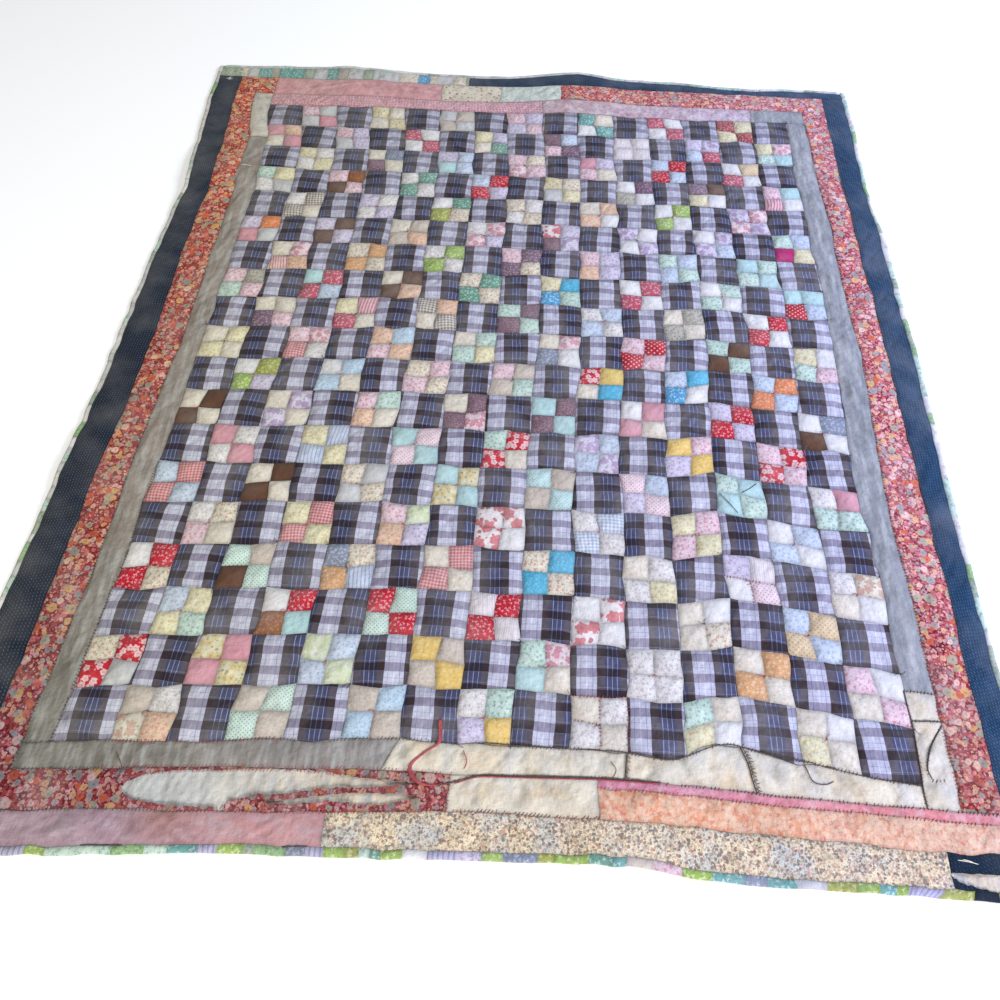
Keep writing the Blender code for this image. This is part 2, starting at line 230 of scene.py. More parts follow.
# The crosswise seams, in centimetres up from the middle, at stations across the quilt.
CrossSeams = namedtuple(
    "CrossSeams",
    "x foot_edge foot_band tear_low tear_high foot_panels blocks_foot"
    " blocks_head head_band head_border head_edge",
)
CROSS_SEAMS = [
    CrossSeams(*seams)
    for seams in (
        (-98, -118.2, -111.9, -109.9, -108.0, -104.7, -99.8, 95.6, 101.4, 109.6, 115.4),
        (-77, -118.4, -111.1, -109.4, -107.4, -104.2, -99.5, 95.6, 101.2, 109.7, 116.0),
        (-62, -117.2, -110.1, -107.9, -105.9, -103.1, -98.4, 95.5, 101.1, 109.5, 116.5),
        (-52, -116.5, -109.6, -108.8, -103.6, -102.3, -97.7, 95.5, 101.0, 109.4, 117.3),
        (-42, -115.8, -109.1, -107.9, -102.8, -101.6, -96.8, 95.5, 100.9, 109.3, 115.6),
        (-28, -115.1, -108.5, -106.2, -102.4, -100.9, -95.8, 95.5, 100.7, 109.0, 115.1),
        (-16, -115.1, -107.6, -104.7, -101.8, -100.3, -95.0, 95.4, 100.5, 108.9, 114.6),
        (-5, -114.2, -106.7, -103.8, -101.7, -100.3, -94.8, 95.4, 100.4, 109.0, 114.6),
        (6, -113.9, -106.4, -103.8, -101.6, -100.0, -94.6, 95.4, 101.4, 109.3, 116.0),
        (16, -113.6, -106.3, -103.7, -101.2, -99.6, -94.5, 95.3, 102.1, 109.8, 118.4),
        (26, -113.2, -106.3, -103.9, -101.2, -99.5, -94.6, 95.3, 102.0, 109.8, 115.7),
        (37, -114.5, -106.6, -104.2, -101.5, -99.9, -95.5, 95.3, 101.9, 109.7, 115.3),
        (47, -115.0, -106.9, -104.5, -101.8, -100.2, -92.5, 95.2, 101.8, 109.6, 115.2),
        (58, -115.0, -107.2, -104.9, -102.2, -100.5, -94.3, 95.2, 101.6, 109.4, 113.6),
        (68, -114.9, -107.5, -105.2, -102.5, -100.8, -95.8, 95.2, 101.4, 109.2, 112.7),
        (78, -114.9, -107.9, -105.5, -102.8, -101.1, -97.1, 95.2, 101.3, 109.0, 113.5),
        (92, -115.3, -107.8, -105.6, -103.2, -101.5, -97.4, 95.2, 101.2, 108.6, 113.2),
        (98, -115.0, -107.7, -105.7, -103.4, -101.7, -97.5, 95.2, 101.1, 108.5, 112.7),
    )
]

LEFT_EDGE, LEFT_NAVY, LEFT_RED, LEFT_GREY, BLOCKS_LEFT = range(5)
BLOCKS_RIGHT = BLOCKS_LEFT + BLOCK_COLUMNS
RIGHT_GREY, RIGHT_RED, RIGHT_NAVY, RIGHT_EDGE = range(BLOCKS_RIGHT + 1, BLOCKS_RIGHT + 5)
FOOT_EDGE, FOOT_BINDING, FOOT_BAND, TEAR_LOW, TEAR_HIGH, FOOT_PANELS, BLOCKS_FOOT = range(7)
BLOCKS_HEAD = BLOCKS_FOOT + BLOCK_ROWS
HEAD_BAND, HEAD_BORDER, HEAD_BINDING, HEAD_EDGE = range(BLOCKS_HEAD + 1, BLOCKS_HEAD + 5)


def block(column):
    """The number of the line to the left of a block column, counted from 0 at the left."""
    return BLOCKS_LEFT + column


def course(row):
    """The number of the line below a row of blocks, counted from 0 at the foot."""
    return BLOCKS_FOOT + row


# Where a seam misses the line of the blocks, that line bends by so many centimetres.
ColumnBend = namedtuple("ColumnBend", "block first_row last_row sideways")
COLUMN_BENDS = (
    ColumnBend(1, TEAR_LOW, TEAR_HIGH, 4.0),
    ColumnBend(6, FOOT_PANELS, FOOT_PANELS, -2.3),
    ColumnBend(9, FOOT_BAND, FOOT_PANELS, 5.4),
    ColumnBend(12, FOOT_PANELS, FOOT_PANELS, 2.5),
    ColumnBend(15, FOOT_BINDING, FOOT_BAND, 2.0),
    ColumnBend(6, HEAD_BORDER, HEAD_EDGE, -2.5),
    ColumnBend(7, HEAD_BAND, HEAD_BORDER, -2.7),
    ColumnBend(9, HEAD_BAND, HEAD_BORDER, -5.0),
)
RowBend = namedtuple("RowBend", "course first_column last_column upwards")
ROW_BENDS = (
    RowBend(17, LEFT_GREY, BLOCKS_LEFT, 4.0),
    RowBend(2, BLOCKS_RIGHT, RIGHT_GREY, -3.3),
    RowBend(1, BLOCKS_RIGHT, RIGHT_GREY, 1.6),
)

# Soft folds: the middle and heading of each ridge, its length, width and rise, in centimetres
# and degrees from +X.
Fold = namedtuple("Fold", "x y heading length width rise")
FOLDS = (
    Fold(-88, 62, 12, 72, 40, 1.0),
    Fold(-92, -38, -4, 56, 38, 0.7),
    Fold(-55, -104, 98, 56, 36, 0.7),
    Fold(16, 106, 84, 60, 40, 1.0),
    Fold(-50, 108, 100, 46, 36, 0.6),
    Fold(92, 50, 172, 60, 38, 0.9),
    Fold(88, -58, 10, 68, 40, 0.8),
    Fold(30, -104, 96, 52, 38, 0.9),
    Fold(-24, 12, 72, 116, 38, 0.5),
    Fold(40, -28, 104, 108, 40, 0.6),
)


def seam_through(table, along, seam, places):
    """How far a seam lies to the side at each of these places, in metres."""
    stations = [getattr(row, along) * CENTIMETRE for row in table]
    offsets = [getattr(row, seam) * CENTIMETRE for row in table]
    return np.interp(places, stations, offsets)


def cross_lines(x):
    """The height up the quilt of every crosswise line at x."""
    seams = {name: seam_through(CROSS_SEAMS, "x", name, x) for name in CrossSeams._fields[1:]}
    foot = [seams["foot_edge"], seams["foot_edge"] + BINDING_WIDTH]
    foot += [seams[name] for name in ("foot_band", "tear_low", "tear_high", "foot_panels")]
    blocks = np.linspace(seams["blocks_foot"], seams["blocks_head"], BLOCK_ROWS + 1)
    head = [seams["head_band"], seams["head_border"]]
    head += [seams["head_edge"] - BINDING_WIDTH, seams["head_edge"]]
    return np.array([*foot, *blocks, *head])


def length_lines(y):
    """The distance to the right of every lengthwise line at y."""
    seams = {name: seam_through(LENGTH_SEAMS, "y", name, y) for name in LengthSeams._fields[1:]}
    left = [seams[name] for name in ("left_edge", "left_navy", "left_red", "left_grey")]
    blocks = np.linspace(seams["blocks_left"], seams["blocks_right"], BLOCK_COLUMNS + 1)
    right = [seams[name] for name in ("right_grey", "right_red", "right_navy", "right_edge")]
    return np.array([*left, *blocks, *right])


def lattice_points(row_bends=ROW_BENDS):
    """(x, y) where each pair of lines crosses, as [column, row], before the outline is centred."""
    level_x, level_y = length_lines(0.0), cross_lines(0.0)
    points = np.empty((len(level_x), len(level_y), 2))
    for row, y in enumerate(level_y):
        points[:, row, 0] = length_lines(y)
    for column, x in enumerate(level_x):
        points[column, :, 1] = cross_lines(x)
    for bend in COLUMN_BENDS:
        rows = slice(bend.first_row, bend.last_row + 1)
        points[block(bend.block), rows, 0] += bend.sideways * CENTIMETRE
    for bend in row_bends:
        columns = slice(bend.first_column, bend.last_column + 1)
        points[columns, course(bend.course), 1] += bend.upwards * CENTIMETRE
    return points


def halve_spans(points):
    """The lattice with a point in the middle of every span, for the seams inside the blocks."""
    for axis in (0, 1):
        count = points.shape[axis]
        before = points.take(range(count - 1), axis)
        after = points.take(range(1, count), axis)
        finer = np.empty([2 * n - 1 if k == axis else n for k, n in enumerate(points.shape)])
        whole, half = [slice(None)] * 3, [slice(None)] * 3
        whole[axis], half[axis] = slice(0, None, 2), slice(1, None, 2)
        finer[tuple(whole)], finer[tuple(half)] = points, (before + after) / 2
        points = finer
    return points


SEAM_WANDER = 4.2 * MILLIMETRE
BORDER_SHARE = 0.35
lattice = lattice_points()
outline_middle = (lattice.max(axis=(0, 1)) + lattice.min(axis=(0, 1))) / 2
knots = halve_spans(lattice) - outline_middle
block_knots = halve_spans(lattice_points(row_bends=())) - outline_middle
astray = np.random.default_rng(7).uniform(-SEAM_WANDER, SEAM_WANDER, knots.shape)
inside = np.zeros(knots.shape[:2] + (1,))
inside[2 * LEFT_NAVY : 2 * RIGHT_NAVY + 1, 2 * FOOT_BINDING : 2 * HEAD_BINDING + 1] = BORDER_SHARE
inside[2 * BLOCKS_LEFT : 2 * BLOCKS_RIGHT + 1, 2 * BLOCKS_FOOT : 2 * BLOCKS_HEAD + 1] = 1.0
knots += astray * inside
block_knots += astray * inside


def chance(i, j, seed):
    """A fixed random number from 0 to 1 for each pair of whole numbers."""
    mixed = np.sin(i * 12.9898 + j * 78.233 + seed * 37.719) * 43758.5453
    return mixed - np.floor(mixed)


def ripple(x, y, across, up, seed):
    """Smooth random height from -1 to 1, its bumps so far apart across and up, in metres."""
    i, j = np.floor(x / across), np.floor(y / up)
    s, t = x / across - i, y / up - j
    s, t = s * s * (3 - 2 * s), t * t * (3 - 2 * t)
    low = chance(i, j, seed) * (1 - s) + chance(i + 1, j, seed) * s
    high = chance(i, j + 1, seed) * (1 - s) + chance(i + 1, j + 1, seed) * s
    return 2 * (low * (1 - t) + high * t) - 1


# How far the blocks' wavy foot hem strays up or down, in centimetres, at places across the quilt.
HemWave = namedtuple("HemWave", "x up")
HEM_WAVES = (
    HemWave(28.0, 0.0),
    HemWave(32.7, -0.9),
    HemWave(36.6, 0.1),
    HemWave(39.8, 1.7),
    HemWave(42.9, 2.1),
    HemWave(47.0, 0.2),
    HemWave(52.0, 0.2),
    HemWave(57.1, -0.7),
    HemWave(60.2, 0.0),
    HemWave(70.5, -0.4),
    HemWave(77.0, 0.0),
)


def stray(x, v):
    """How far the seam at the blocks' foot, and what is near it, waves up or down."""
    where, up = np.array(HEM_WAVES).T * CENTIMETRE
    return np.interp(x + outline_middle[0], where, up) * np.clip(1 - abs(v - BLOCKS_FOOT), 0, 1)


DRIFT = 2.3 * MILLIMETRE


def place(u, v, lattice=knots):
    """(x, y) of points given in lattice lines, with the seams' wander."""
    i = np.clip(np.floor(2 * u).astype(int), 0, lattice.shape[0] - 2)
    j = np.clip(np.floor(2 * v).astype(int), 0, lattice.shape[1] - 2)
    s, t = (2 * u - i)[..., None], (2 * v - j)[..., None]
    low = lattice[i, j] * (1 - s) + lattice[i + 1, j] * s
    high = lattice[i, j + 1] * (1 - s) + lattice[i + 1, j + 1] * s
    x, y = np.moveaxis(low * (1 - t) + high * t, -1, 0)
    aside = DRIFT * ripple(x, y, 0.045, 0.035, 1)
    up = DRIFT * ripple(x, y, 0.035, 0.045, 2)
    return x + aside, y + up + stray(x, v)


def lift(x, y, folds=FOLDS):
    """How far the folds raise the cloth."""
    rise = np.zeros(np.shape(x))
    for fold in folds:
        heading = math.radians(fold.heading)
        dx, dy = x - fold.x * CENTIMETRE, y - fold.y * CENTIMETRE
        along = (dx * math.cos(heading) + dy * math.sin(heading)) / (fold.length * CENTIMETRE / 2)
        across = (dy * math.cos(heading) - dx * math.sin(heading)) / (fold.width * CENTIMETRE / 2)
        reach = np.minimum(np.hypot(along, across), 1.0)
        rise += fold.rise * CENTIMETRE * np.cos(reach * math.pi / 2) ** 2
    return rise


def batting_top(x, y):
    """The height of the batting's upper face, which is a little lumpy all over."""
    lumps = 1.3 * (ripple(x, y, 0.09, 0.08, 3) + 1) / 2 + 0.6 * (ripple(x, y, 0.034, 0.03, 4) + 1) / 2
    return lift(x, y) + BATTING_THICKNESS + lumps * MILLIMETRE


def stations(first, last, pitch, axis):
    """Places from one line to another along an axis, about a pitch apart, with one on each line."""
    marks = [float(first)]
    for line in range(first, last):
        ends = knots.take(2 * line + 2, axis) - knots.take(2 * line, axis)
        count = max(2, round(float(ends[:, axis].mean()) / pitch))
        marks += [line + step / count for step in range(1, count + 1)]
    return np.array(marks)


def quads_of(order):
    """The four corners of every face of a grid of vertex numbers."""
    return np.stack([order[:-1, :-1], order[1:, :-1], order[1:, 1:], order[:-1, 1:]], -1)


def running(steps):
    """How far along each place is, from the steps between them."""
    return np.append(0.0, np.cumsum(steps))


def put_corners(mesh, name, values):
    """A UV map or a colour for every corner of every face, as an array of [face, corner]."""
    if values.shape[-1] == 2:
        layer = mesh.uv_layers.new(name=name)
        layer.data.foreach_set("uv", values.astype(np.float32).ravel())
    else:
        layer = mesh.color_attributes.new(name, "FLOAT_COLOR", "CORNER")
        layer.data.foreach_set("color", values.astype(np.float32).ravel())


def put_points(mesh, name, values):
    """One number for every vertex."""
    layer = mesh.attributes.new(name, "FLOAT", "POINT")
    layer.data.foreach_set("value", values.astype(np.float32).ravel())


CRISP = math.radians(55)


def make_piece(name, points, faces):
    """A smooth mesh object from its vertices and faces, with crisp edges where it turns down."""
    mesh = bpy.data.meshes.new(name)
    mesh.from_pydata(points.tolist(), [], faces.tolist())
    mesh.shade_smooth()
    mesh.set_sharp_from_angle(angle=CRISP)
    piece = bpy.data.objects.new(name, mesh)
    bpy.context.scene.collection.objects.link(piece)
    return piece


WEAVE_PITCH = 1.3 * MILLIMETRE
WEAVE_DEPTH = 0.35 * MILLIMETRE
CRINKLE_DEPTH = 4.0 * MILLIMETRE
FADED = (226, 222, 218)
WARM_LIGHT_CAST = (1.0, 0.98, 0.89, 1.0)
COOL_LIGHT_CAST = (0.98, 1.0, 1.27, 1.0)


def turning(spot, axis, start, end, under, over, most=1.0):
    """A colour that turns into another between two places along an axis."""
    return lay_over(spread(part_of(spot, axis), start, end, 0.0, most), under, over)


def across_quilt(spot, left, right):
    """A colour that turns from one at the quilt's left to another at its right."""
    return turning(spot, 0, -0.9, 0.9, left, right)


def clouded(spot, under, over, per_metre, detail, low, high, most):
    """One colour with soft clouds of another, which thicken as their noise goes from low to high."""
    noise = mottle(spot, per_metre, detail)
    return lay_over(spread(noise, low, high, 0.0, most), under, over)


def cotton(name, paint, fading=0.16, shade_and_grime=0.34, map_name="Cloth"):
    """Worn cotton cloth: printed, faded in clouds and woven, with painted shade and some grime along its
    seams, painted shade in its hollows, and a painted cast of the light, warm at the left and cool at the
    right.
    """
    material, tree, shader = new_material(name)
    cloth = add_node("UVMap", tree=tree, uv_map=map_name).outputs[0]
    spot = add_node("TexCoord", tree=tree).outputs["Object"]
    printed = paint(cloth, spot)
    colour = clouded(spot, printed, FADED, (9.0, 9.0, 9.0), 4.0, 0.42, 0.72, fading)
    fine, long = 1 / WEAVE_PITCH, 0.09 / WEAVE_PITCH
    warp = mottle(spot, (fine, long, 1.0), 1.0)
    weft = mottle(spot, (long, fine, 1.0), 1.0)
    threads = reckon("ADD", warp, weft)
    # The seam attribute darkens the cloth by a share: painted shade with some grime along seams and torn
    # edges, and painted shade in hollows.
    seam = add_node("Attribute", tree=tree, attribute_name="seam").outputs["Fac"]
    seam_shading = reckon("MULTIPLY_ADD", seam, -shade_and_grime, 1.0)
    shadow = reckon("MULTIPLY", spread(threads, 0.7, 1.3, 0.72, 0.88), seam_shading)
    # A painted cast of the light: every cloth warmer at the quilt's left and bluer at its right.
    light_cast = across_quilt(spot, WARM_LIGHT_CAST, COOL_LIGHT_CAST)
    toned = times(colour, light_cast)
    soiled = spread(mottle(spot, (24.0, 24.0, 12.0), 6.0), 0.42, 0.7, 1.0, 0.8)
    toned = dim(toned, soiled)
    tree.links.new(dim(toned, shadow), shader.inputs["Base Color"])
    lumps = mottle(spot, (85.0, 85.0, 30.0), 5.0)
    crinkle = {"Height": lumps, "Strength": 0.85, "Distance": CRINKLE_DEPTH}
    crinkled = add_node("Bump", crinkle).outputs[0]
    weave = {"Height": threads, "Strength": 0.5, "Distance": WEAVE_DEPTH, "Normal": crinkled}
    tree.links.new(add_node("Bump", weave).outputs[0], shader.inputs["Normal"])
    shader.inputs["Roughness"].default_value = 0.93
    shader.inputs["Specular IOR Level"].default_value = 0.2
    shader.inputs["Sheen Weight"].default_value = 0.08
    shader.inputs["Sheen Roughness"].default_value = 0.5
    return material


def muslin_colour(cloth, spot):
    """Unbleached cream with tea-coloured stains and a few greyer clouds."""
    cream, tea = (238, 227, 202), (220, 190, 144)
    cream = clouded(spot, cream, tea, (14.0, 22.0, 10.0), 5.0, 0.5, 0.72, 0.75)
    cream = turning(spot, 1, 0.4, 0.9, cream, (214, 206, 198), 0.8)
    return clouded(spot, cream, (206, 208, 206), (26.0, 9.0, 10.0), 3.0, 0.45, 0.75, 0.7)


def backing_colour(cloth, spot):
    """The same muslin, greyer at its left and in lengthwise streaks: painted shade where it lies sunk in
    the tears.
    """
    cream = turning(spot, 0, -0.55, -0.2, (208, 210, 210), (230, 214, 186))
    return clouded(spot, cream, (186, 187, 186), (60.0, 12.0, 10.0), 4.0, 0.42, 0.66, 0.8)


muslin = cotton("cream_muslin", muslin_colour, fading=0.1, shade_and_grime=0.55)
backing_muslin = cotton("backing_muslin", backing_colour, fading=0.1)

BATTING_PITCH = 18 * MILLIMETRE
TORN_PITCH = 4 * MILLIMETRE
PRESSED = 1.0 * MILLIMETRE


def mixed_stations(first, fine_from, fine_to, last, axis):
    """Stations that are close together between two lines and wide apart elsewhere."""
    wide = stations(first, fine_from, BATTING_PITCH, axis)
    close = stations(fine_from, fine_to, TORN_PITCH, axis)
    return np.concatenate([wide[:-1], close, stations(fine_to, last, BATTING_PITCH, axis)[1:]])


u, v = np.meshgrid(
    mixed_stations(LEFT_NAVY, block(1), block(6), RIGHT_NAVY, 0),
    mixed_stations(FOOT_BINDING, FOOT_BAND, FOOT_PANELS, HEAD_BINDING, 1),
    indexing="ij",
)
x, y = place(u, v)
bare = np.clip(np.minimum(v - FOOT_BAND, FOOT_PANELS - v), 0, 1) * np.clip(block(7) - u, 0, 1)
bare *= np.clip(2 * (u - LEFT_GREY), 0, 1)
creases = ripple(x + 0.25 * y, y, 0.016, 0.07, 5) + 0.5 * ripple(x - 0.4 * y, y, 0.008, 0.04, 6)
top = batting_top(x, y) - PRESSED * (1 - bare) + 2.4 * MILLIMETRE * bare * (creases - 0.9)
columns, rows = x.shape
order = np.arange(columns * rows).reshape(columns, rows)
upper = quads_of(order).reshape(-1, 4)
lower = upper[:, ::-1] + columns * rows
hem = np.concatenate([order[:, 0], order[-1, 1:], order[-2::-1, -1], order[0, -2:0:-1]])
after = np.roll(hem, -1)
side = np.stack([hem, hem + columns * rows, after + columns * rows, after], -1)
flat = np.stack([x.ravel(), y.ravel()], -1)
points = np.vstack([np.column_stack([flat, top.ravel()]), np.column_stack([flat, lift(x, y).ravel()])])
faces = np.vstack([upper, lower, side])
batting = make_piece("quilt_batting", points, faces)
put_points(batting.data, "seam", np.zeros(len(points)))
batting.data.materials.append(backing_muslin)
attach(batting, "root")
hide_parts("batting_and_backing")

# ------------------------------------------------------------------------------------------
# Patchwork centre. Squares of dark plaid shirting alternate with four-patches of cotton print
# scraps, joined by hand into lengthwise strips, and the strips to each other. The seams sink
# into the batting, and the cloth puffs up and puckers between them.

TURN_DOWN = 1.2 * MILLIMETRE
TURN_IN = 0.2 * MILLIMETRE
SEAM_HEIGHT = 0.4 * MILLIMETRE
SHADE_AND_GRIME_REACH = 3.2 * MILLIMETRE
HOLLOW_DEPTH = 0.9 * MILLIMETRE
HOLLOW_SHADE = 0.6
BAKE_MARGIN = 0.012
CORNER_ACROSS = np.array([0, 1, 1, 0])
CORNER_ALONG = np.array([0, 0, 1, 1])

Cut = namedtuple("Cut", "u v x y across along")
Sewn = namedtuple("Sewn", "piece kept")


def cut_cloth(u, v, lattice=knots):
    """The places that a piece covers on a grid of lattice stations, and the lengths of its sides."""
    x, y = place(u, v, lattice)
    across = np.hypot(np.diff(x, axis=0), np.diff(y, axis=0)).mean(axis=1)
    along = np.hypot(np.diff(x, axis=1), np.diff(y, axis=1)).mean(axis=0)
    return Cut(u, v, x, y, running(across), running(along))


def in_lanes(across, along):
    """UV corners that lay a long piece out in a square, cut into even lanes side by side."""
    endlong = along[-1] > across[-1]
    long, short = (along, across) if endlong else (across, along)
    lanes = max(1, round(math.sqrt(long[-1] / short[-1])))
    lane = np.arange(len(long) - 1) * lanes // (len(long) - 1)
    first = np.searchsorted(lane, np.arange(lanes))
    last = np.append(first[1:], len(long) - 1)
    begin = long[first][lane]
    run = np.stack([long[:-1] - begin, long[1:] - begin], -1) / (long[last] - long[first]).max()
    width = np.stack([short[:-1], short[1:]], -1) / short[-1]
    run, width = (BAKE_MARGIN + (1 - 2 * BAKE_MARGIN) * share for share in (run, width))
    if endlong:
        width = width[:, None, CORNER_ACROSS] + lane[None, :, None]
        run = np.broadcast_to(run[None, :, CORNER_ALONG], width.shape)
    else:
        width = width[None, :, CORNER_ALONG] + lane[:, None, None]
        run = np.broadcast_to(run[:, None, CORNER_ACROSS], width.shape)
    return np.stack([width / lanes, run], -1)


def at_corners(across, along):
    """The two distances at every corner of every face, from those of the grid's lines."""
    i, j = np.indices((len(across) - 1, len(along) - 1))
    return np.stack([across[i[..., None] + CORNER_ACROSS], along[j[..., None] + CORNER_ALONG]], -1)


def hollows(rise):
    """Where the cloth dips below its surroundings, from 0 to 1, for painted shade in its hollows."""
    around = sum(np.roll(rise, step, axis) for step in (-2, 2) for axis in (0, 1)) / 4
    return np.clip((around - rise) / HOLLOW_DEPTH, 0, 1)


def sew_on(name, node, cut, to_seam, rise, cottons, torn=None):
    """A piece of the top, raised off the batting, with its edges turned down into the seams."""
    x, y = (np.pad(values, 1, mode="edge") for values in (cut.x, cut.y))
    for values, inward in ((x, TURN_IN), (y.T, TURN_IN)):
        values[:2] += inward
        values[-2:] -= inward
    z = batting_top(x, y) + SEAM_HEIGHT + np.pad(rise, 1, mode="edge")
    for rim in (z[0], z[-1], z[:, 0], z[:, -1]):
        rim -= TURN_DOWN
    order = np.arange(x.size).reshape(x.shape)
    order[[0, 0, -1, -1], [1, -2, 1, -2]] = order[[1, 1, -2, -2], [0, -1, 0, -1]]
    kept = np.ones((x.shape[0] - 1, x.shape[1] - 1), bool)
    kept[[0, 0, -1, -1], [0, -1, 0, -1]] = False
    if torn is not None:
        kept[1:-1, 1:-1] &= ~torn
    used, faces = np.unique(quads_of(order)[kept], return_inverse=True)
    points = np.stack([x, y, z], -1).reshape(-1, 3)[used]
    piece = make_piece(name, points, faces.reshape(-1, 4))
    sides = cut.across, cut.along
    across, along = (np.concatenate([[-TURN_DOWN], side, side[-1:] + TURN_DOWN]) for side in sides)
    put_corners(piece.data, "Cloth", at_corners(across, along)[kept])
    put_corners(piece.data, "OFBake", in_lanes(across + TURN_DOWN, along + TURN_DOWN)[kept])
    # Painted shade and some grime along the seams, and painted shade in the hollows, to darken the cloth's
    # colour.
    seam_grime_and_shade = np.maximum(np.exp(-to_seam / SHADE_AND_GRIME_REACH), HOLLOW_SHADE * hollows(rise))
    put_points(piece.data, "seam", np.pad(seam_grime_and_shade, 1, mode="edge").ravel()[used])
    for cotton_cloth in cottons:
        piece.data.materials.append(cotton_cloth)
    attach(piece, "root")
    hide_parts(node)
    return Sewn(piece, kept)


def print_on(sewn, name, values):
    """Gives each corner of the piece's faces its own print, from an array without the turned edges."""
    edges = [(1, 1), (1, 1)] + [(0, 0)] * (values.ndim - 2)
    put_corners(sewn.piece.data, name, np.pad(values, edges, mode="edge")[sewn.kept])


def puff(across, along, softness):
    """How full the cloth is between its seams, from 0 on a seam to 1."""
    return (1 - np.exp(-across / softness)) * (1 - np.exp(-along / softness))


def pucker(x, y, across, along):
    """Small gathers that run out from the seams, in metres."""
    from_lengthwise = ripple(x, y, 0.024, 0.0095, 21) * np.exp(-across / 0.011)
    from_crosswise = ripple(x, y, 0.0095, 0.024, 22) * np.exp(-along / 0.011)
    return 1.2 * MILLIMETRE * (from_lengthwise + from_crosswise)


def crumple(x, y):
    """Soft wrinkles, slanting one way here and the other way there, in metres."""
    one = ripple(x + 0.7 * y, y - 0.7 * x, 0.017, 0.075, 23)
    other = ripple(x - 0.8 * y, y + 0.8 * x, 0.015, 0.07, 24)
    share = np.clip(0.5 + 1.2 * ripple(x, y, 0.13, 0.11, 25), 0, 1)
    soft = one * share + other * (1 - share)
    crease = (1 - abs(ripple(x + 0.5 * y, y - 0.5 * x, 0.06, 0.13, 27))) ** 6
    return 1.5 * MILLIMETRE * (soft + 0.8 * crease)


def turn_of(distance, repeat):
    """How far through its repeat each place is, from 0 to 1."""
    return reckon("FRACT", reckon("DIVIDE", distance, repeat))


def picked(number, stops):
    """One of several colours, each picked by numbers from its own start onwards."""
    ramp = add_node("ValToRGB", {0: number})
    ramp.color_ramp.interpolation = "CONSTANT"
    for count, (start, colour) in enumerate(stops):
        elements = ramp.color_ramp.elements
        stop = elements[count] if count < 2 else elements.new(start)
        stop.position = start
        stop.color = linear(*colour)
    return ramp.outputs[0]


def bands(distance, widths_and_colours):
    """A repeat of plain bands of these widths, in millimetres, and colours."""
    widths, colours = zip(*widths_and_colours)
    starts = [sum(widths[:count]) / sum(widths) for count in range(len(widths))]
    return picked(turn_of(distance, sum(widths) * MILLIMETRE), zip(starts, colours))


NAVY_YARN, DARK_YARN, PALE_YARN, LINE_YARN = (76, 80, 110), (97, 90, 98), (207, 209, 225), (158, 164, 192)
FINE_LINE = (164, 168, 194)
PLAID_WARP = (
    (15, DARK_YARN),
    (5, NAVY_YARN),
    (1.2, LINE_YARN),
    (8, NAVY_YARN),
    (0.9, LINE_YARN),
    (8, NAVY_YARN),
    (1.2, LINE_YARN),
    (5, NAVY_YARN),
    (13, DARK_YARN),
    (7, PALE_YARN),
    (1.2, FINE_LINE),
    (9.4, PALE_YARN),
    (2.2, (228, 230, 240)),
    (9.4, PALE_YARN),
    (1.2, FINE_LINE),
    (7.4, PALE_YARN),
)
DARK_SHARE = 0.602
WEFT_ON_PALE, WEFT_ON_DARK = (
    ((17, bar), (11, field), (1.2, line), (11.2, field))
    for bar, field, line in (
        ((190, 181, 192), (252, 250, 250), (216, 216, 230)),
        ((160, 138, 136), (248, 246, 250), (255, 255, 255)),
    )
)
WEFT_LINES = 20.2 * MILLIMETRE
SHIRTING_TURN = math.radians(2.5)


def plaid_colour(cloth, spot):
    """Navy, brown and pale lavender shirting, darker where its weft bars cross."""
    across, along = part_of(cloth, 0), part_of(cloth, 1)
    turn = turn_of(across, sum(width for width, colour in PLAID_WARP) * MILLIMETRE)
    on_pale, on_dark = (bands(along, weft) for weft in (WEFT_ON_PALE, WEFT_ON_DARK))
    weft = lay_over(reckon("LESS_THAN", turn, DARK_SHARE), on_pale, on_dark)
    woven = times(bands(across, PLAID_WARP), weft)
    line = reckon("LESS_THAN", turn_of(along, WEFT_LINES), 0.06)
    lined = lay_over(reckon("MULTIPLY", line, 0.3), woven, LINE_YARN)
    # Darker towards the head: painted shade of the light falling off up the quilt.
    return dim(lined, spread(part_of(spot, 1), 0.2, 0.95, 1.0, 0.79))


def dye(cloth, name):
    """A colour that the scrap itself carries."""
    return add_node("Attribute", tree=cloth.id_data, attribute_name=name).outputs[0]


def plain_colour(cloth, spot):
    """One dye, with the faintest streaks."""
    ground, streaks = dye(cloth, "ground"), dye(cloth, "accent")
    return clouded(spot, ground, streaks, (60.0, 60.0, 20.0), 2.0, 0.4, 0.7, 0.25)


def dots_colour(cloth, spot):
    """Rows of round dots, each row set half a step along from the last."""
    across, along = part_of(cloth, 0), part_of(cloth, 1)
    slants = [reckon(kind, across, along) for kind in ("ADD", "SUBTRACT")]
    offs = [reckon("SUBTRACT", reckon("FRACT", slant), 0.5) for slant in slants]
    squares = [reckon("MULTIPLY", off, off) for off in offs]
    dot = spread(reckon("ADD", *squares), 0.03, 0.06, 1.0, 0.0)
    return lay_over(dot, dye(cloth, "ground"), dye(cloth, "figure"))


def check_colour(cloth, spot):
    """A small gingham check."""
    turns = [reckon("FRACT", part_of(cloth, axis)) for axis in (0, 1)]
    bars = [reckon("GREATER_THAN", turn, 0.5) for turn in turns]
    share = reckon("MULTIPLY", reckon("ADD", *bars), 0.5)
    return lay_over(share, dye(cloth, "ground"), dye(cloth, "figure"))


def stripes_colour(cloth, spot):
    """Narrow stripes with a finer line between them."""
    turn = reckon("FRACT", part_of(cloth, 0))
    stripe = reckon("LESS_THAN", turn, 0.38)
    line = reckon("COMPARE", turn, 0.7, 0.06)
    striped = lay_over(stripe, dye(cloth, "ground"), dye(cloth, "figure"))
    return lay_over(line, striped, dye(cloth, "accent"))


